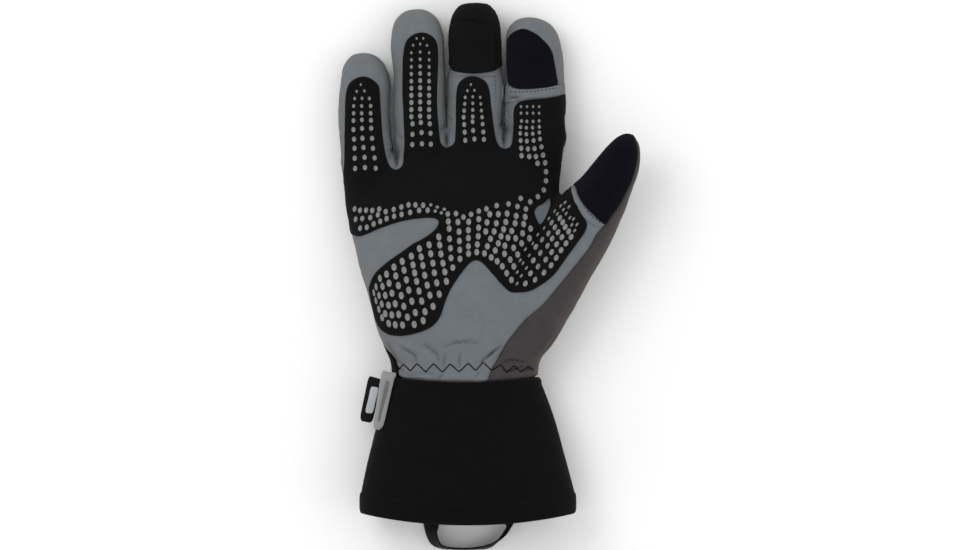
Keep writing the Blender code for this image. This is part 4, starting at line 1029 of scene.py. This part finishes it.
def strip_mesh(name, sections, tip=None):
    """A closed strip through equal rings of points, its ends closed flat or the last of them by a point."""
    made = bmesh.new()
    loops = [[made.verts.new(point) for point in ring] for ring in sections]
    for low, top in zip(loops, loops[1:]):
        for k in range(len(low)):
            made.faces.new((low[k - 1], low[k], top[k], top[k - 1]))
    made.faces.new(loops[0])
    if tip is None:
        made.faces.new(loops[-1])
    else:
        peak = made.verts.new(tip)
        for k in range(len(loops[-1])):
            made.faces.new((loops[-1][k - 1], loops[-1][k], peak))
    bmesh.ops.recalc_face_normals(made, faces=made.faces)
    mesh = bpy.data.meshes.new(name)
    made.to_mesh(mesh)
    made.free()
    return mesh


def lathe(name, rings, count):
    """A small closed shape from rings of (radius, height), the last of them a point on the top."""
    ways = [(math.sin(2 * math.pi * k / count), math.cos(2 * math.pi * k / count)) for k in range(count)]
    sections = [[(x * radius, y * radius, high) for x, y in ways] for radius, high in rings[:-1]]
    return strip_mesh(name, sections, (0, 0, rings[-1][1]))


skin_tree = BVHTree.FromPolygons(skin.tolist(), faces_in(-BACK).tolist())
overlay_rise = OVERLAY_HEIGHT * side_taper * np.clip(-data[:, OVERLAY] / LAYER_EDGE, 0.0, 1.0)
overlay_top = skin + normal * overlay_rise[:, None]
overlay_tree = BVHTree.FromPolygons(overlay_top.tolist(), faces_in(OVERLAY).tolist())


def dropped(tree, x, y):
    """The place and facing where a line straight down at (x, y) in metres meets a surface."""
    place, facing, _, _ = tree.ray_cast(Vector((x, y, 0.09)), Vector((0, 0, -1)))
    return place, facing


rows = []
for (width, height, turn), places in DOTS:
    way = Vector((math.sin(math.radians(-turn)), math.cos(math.radians(turn)), 0.0))
    for x, y in places:
        tip = np.interp(x, *zip(*DOT_FINGER_TIPS))
        narrowed = FLANK_LOSS * float(ramp(np.array(-x), *FLANK_RUN)) * (y < FLANK_TOP)
        size = 1 - DOT_SHRINK * float(ramp(np.array(y), tip - TIP_RUN, tip))
        place, facing = dropped(overlay_tree, x / 1000, y / 1000)
        if place is not None:
            half_sizes = (width * size * (1 - narrowed) / 2000, height * size / 2000, DOT_HEIGHT)
            rows.append((place, facing, way - facing * way.dot(facing), half_sizes))
silicone = plain_material("silicone", (0.175, 0.185, 0.175), 0.3)
stamped("silicone_dots", rows, lathe("dot", DOT_PROFILE, 14), silicone, "overlay_black")

# The stitches: the zigzag that holds the elastic at the wrist, the rows on both pad bands, the hem's row and
# the faint row below the middle finger's cap. Each kind has its pitch, the share of it that is thread, half
# the thread's thickness and its lift off the surface. The rows' places are in millimetres on the plan.
ZIGZAG_STITCH = (0.0008, 1.15, 0.00036, 0.00012)
HEM_STITCH = (0.0026, 0.6, 0.00035, 0.00012)
PAD_STITCH = (0.0021, 0.6, 0.00024, 0.00008)
CAP_STITCH = (0.0023, 0.5, 0.00020, 0.00002)
WRIST_ZIGZAG = (
    (-36.2, -51.5), (-33.6, -48.6), (-29.9, -52.4), (-26.2, -48.1), (-21.5, -52.8), (-17.1, -48.1),
    (-12.4, -53.0), (-8.1, -48.3), (-3.2, -52.7), (1.9, -47.9), (5.8, -52.1), (10.1, -47.5),
    (14.6, -52.0), (19.7, -48.7), (22.7, -53.1), (27.0, -49.2), (30.3, -52.8), (34.7, -49.5), (38.0, -52.5),
)
INDEX_ROW = ((24.6, 101.0), (30.0, 100.7), (37.0, 101.0), (44.0, 102.0), (49.6, 103.0))
THUMB_ROW = ((62.7, 43.0), (64.4, 38.8), (67.5, 34.6), (71.6, 30.6), (74.6, 29.0))
CAP_ROW = ((16.5, 110.5), (16.6, 100.0), (16.4, 91.5))
HEM_ROW = range(-52, 53, 4)
HEM_STITCH_DROP = 0.0020
STITCH_PROFILE = ((0.35, -0.94), (0.8, -0.75), (1.0, -0.3), (1.0, 0.3), (0.8, 0.75), (0.35, 0.94), (0.0, 1.0))


def thread(tree, line, pitch, share, radius, lift):
    """Stitches along a line on the plan, one every pitch, each of them a share of the pitch long."""
    line = np.array(line) / 1000
    steps = np.concatenate([[0.0], np.cumsum(np.linalg.norm(np.diff(line, axis=0), axis=1))])
    made = []
    for at in np.arange(pitch / 2, steps[-1], pitch):
        ends = []
        for spot in (at - pitch * share / 2, at + pitch * share / 2):
            x, y = (np.interp(spot, steps, line[:, axis]) for axis in (0, 1))
            ends.append(dropped(tree, x, y))
        if any(place is None for place, _ in ends):
            continue
        (first, up), (last, other) = ends
        facing = (up + other).normalized()
        run = last - first
        made.append(((first + last) / 2 + facing * lift, facing, run, (radius, run.length / 2, radius)))
    return made


capsule = lathe("stitch", STITCH_PROFILE, 6)
capsule.transform(((1, 0, 0, 0), (0, 0, 1, 0), (0, -1, 0, 0), (0, 0, 0, 1)))
thread_black = plain_material("thread_black", (0.003, 0.003, 0.003), 0.8, 0.1)
thread_gray = plain_material("thread_gray", (0.022, 0.023, 0.025), 0.8, 0.1)
band_faces = np.concatenate([faces_in(INDEX_BAND), faces_in(THUMB_BAND)])
band_tree = BVHTree.FromPolygons((skin + normal * BAND_HEIGHT).tolist(), band_faces.tolist())
hem_tree = BVHTree.FromPolygons(points_of(hem.data).tolist(), triangles_of(hem.data).tolist())
hem_row = []
for x in HEM_ROW:
    bow = CUFF_MOUTH_BOW * (1 - (x / 1000 / CUFF_MOUTH_HALF) ** 2)
    hem_row.append((x + CUFF_SHIFT * 1000, (CUFF_TOP - CUFF_LENGTH - HEM_STITCH_DROP - bow) * 1000))
zigzag = thread(skin_tree, WRIST_ZIGZAG, *ZIGZAG_STITCH)
stamped("elastic_zigzag", zigzag, capsule, thread_black, "gray_leather")
stamped("hem_stitches", thread(hem_tree, hem_row, *HEM_STITCH), capsule, thread_black, "black_softshell")
rows = [row for line in (INDEX_ROW, THUMB_ROW) for row in thread(band_tree, line, *PAD_STITCH)]
rows += thread(skin_tree, CAP_ROW, *CAP_STITCH)
stamped("pad_stitches", rows, capsule, thread_gray, "gray_leather")

# The hanging loop: a strap of woven webbing whose two ends are sewn under the hem and which twists on its
# edge where it turns.
LOOP_WIDTH = 0.0094
LOOP_THICK = 0.0013
LOOP_PATH = (
    # centre x, y and z, and the width's direction across (x, y) and up, in millimetres
    (-18.6, -128.2, 3.0, 1.00, 0.00, 0.05), (-18.5, -134.0, 3.0, 0.99, 0.00, 0.15),
    (-18.6, -138.0, 3.4, 0.86, 0.00, 0.50), (-18.3, -142.5, 4.0, 0.60, 0.25, 0.76),
    (-16.6, -146.6, 4.6, 0.38, 0.36, 0.85), (-12.8, -149.6, 4.8, 0.08, 0.16, 0.98),
    (-6.0, -150.6, 4.8, 0.00, 0.06, 1.00), (4.0, -150.6, 4.8, 0.00, 0.06, 1.00),
    (12.5, -149.5, 4.9, 0.05, 0.20, 0.97), (17.6, -146.6, 4.9, 0.18, 0.20, 0.96),
    (21.6, -142.6, 4.9, 0.34, 0.22, 0.91), (24.0, -138.8, 4.9, 0.26, 0.08, 0.96),
    (24.6, -135.6, 4.3, 0.62, 0.00, 0.78), (24.4, -132.0, 3.0, 0.90, 0.00, 0.40),
    (24.2, -128.2, 3.0, 1.00, 0.00, 0.05),
)


def smooth_rows(rows, steps):
    """More rows between the rows of an open table, curved through all of them."""
    rows = np.array(rows, float)
    rows = np.vstack([2 * rows[0] - rows[1], rows, 2 * rows[-1] - rows[-2]])
    between = curve_between(*(rows[k:len(rows) - 3 + k, None, :] for k in range(4)), steps)
    return np.vstack([between.reshape(-1, rows.shape[1]), rows[-2]])


def unit(rows):
    return rows / np.linalg.norm(rows, axis=1)[:, None]


path = smooth_rows(LOOP_PATH, 8)
centre = path[:, :3] / 1000
run = unit(np.gradient(centre, axis=0))
across = unit(path[:, 3:])
across = unit(across - run * (across * run).sum(1)[:, None])
thick = np.cross(run, across)
sections = []
for corner in np.linspace(0, 2 * np.pi, 24, endpoint=False):
    side = squarish(np.cos(corner), 0.5) * LOOP_WIDTH / 2
    sections.append(centre + across * side + thick * squarish(np.sin(corner), 0.5) * LOOP_THICK / 2)
sections = np.stack(sections, 1)
webbing = grained("webbing", (0.006, 0.006, 0.0065), (0.02, 0.02, 0.02), 0.75, 0.2,
                  Grain_Scale=2000.0, Grain_Depth=0.0001, Mottle=0.5, Weave_Scale=330.0, Weave_Depth=0.0005)
placed("webbing_loop", strip_mesh("webbing_loop", sections.tolist()), webbing, "webbing", "hang_loop")

# The two labels in the left side seam: a gray one folded over the seam, with a dark strip of painted shadow
# down its middle where it folds, and behind it a black flag that stands out to the side with a pale bare
# patch.
LABEL_RUN = (
    # the middle line's x and y and the half width, in millimetres, down each label
    (-41.4, -52.7, 3.4), (-41.6, -53.6, 3.9), (-42.6, -56.9, 3.7), (-45.0, -69.0, 3.3),
    (-47.1, -80.0, 2.9), (-47.9, -83.0, 2.3), (-48.2, -84.5, 1.4),
)
# painted shadow of the gray label's fold: a dark strip down its middle
FOLD_SHADOW_RUN = (
    (-42.3, -57.6, 0.5), (-43.7, -64.0, 0.8), (-45.6, -71.8, 0.75), (-47.1, -79.0, 0.6), (-47.7, -82.2, 0.4),
)
FLAG_RUN = (
    (-49.4, -56.1, 2.5), (-49.8, -57.7, 3.6), (-51.6, -66.4, 3.7), (-53.5, -75.5, 3.7), (-54.2, -79.0, 3.4),
    (-54.5, -80.6, 2.3),
)
PATCH_RUN = (
    (-49.6, -61.3, 1.3), (-49.8, -62.4, 2.1), (-51.2, -68.5, 2.1), (-52.6, -74.4, 2.1), (-52.8, -75.7, 1.3),
)
# heights of the upper and the lower end, thickness, and how far the middle arches up
LABEL_FORM = (0.0330, 0.0300, 0.0012, 0.0005)
FOLD_SHADOW_FORM = (0.0342, 0.0314, 0.0003, 0.0)
FLAG_FORM = (0.0147, 0.0147, 0.0012, 0.0)
PATCH_FORM = (0.0155, 0.0155, 0.0004, 0.0)


def tag(name, run, form, surface, slot, *nodes):
    """A small flat label along its middle line."""
    start, end, thick, arch = form
    run = smooth_rows(run, 6)
    levels = np.linspace(start, end, len(run))
    turn = np.linspace(0, 2 * np.pi, 28, endpoint=False)
    flat, deep = squarish(np.cos(turn), 0.45), squarish(np.sin(turn), 0.45)
    tilts = np.gradient(run[:, 0]) / np.gradient(run[:, 1])
    sections = []
    for (x, y, half), level, tilt in zip(run, levels, tilts):
        reach = half * flat / math.hypot(1, tilt)
        heights = level + arch * (1 - flat**2) + deep * thick / 2
        sections.append(np.stack([(x + reach) / 1000, (y - reach * tilt) / 1000, heights], 1).tolist())
    return placed(name, strip_mesh(name, sections), surface, slot, *nodes)


label_gray = grained("label_gray", (0.25, 0.262, 0.256), (0.45, 0.45, 0.44), 0.6, 0.25, Grain_Scale=2400.0,
                     Grain_Depth=0.00008, Mottle=0.25, Weave_Scale=420.0, Weave_Depth=0.00015)
label_dark = grained("label_dark", (0.13, 0.13, 0.135), (0.12, 0.12, 0.12), 0.8, 0.1, Mottle=0.3)
patch_pale = grained("patch_pale", (0.50, 0.53, 0.56), (0.5, 0.5, 0.5), 0.7, 0.2, Mottle=0.2)
tag("folded_label", LABEL_RUN, LABEL_FORM, label_gray, "label_gray", "side_label")
# painted shadow: a dark strip on the gray label where it folds
tag("label_stripe", FOLD_SHADOW_RUN, FOLD_SHADOW_FORM, label_dark, "label_gray")
tag("side_flag_label", FLAG_RUN, FLAG_FORM, webbing, "webbing", "side_flag")
tag("flag_patch", PATCH_RUN, PATCH_FORM, patch_pale, "label_gray")
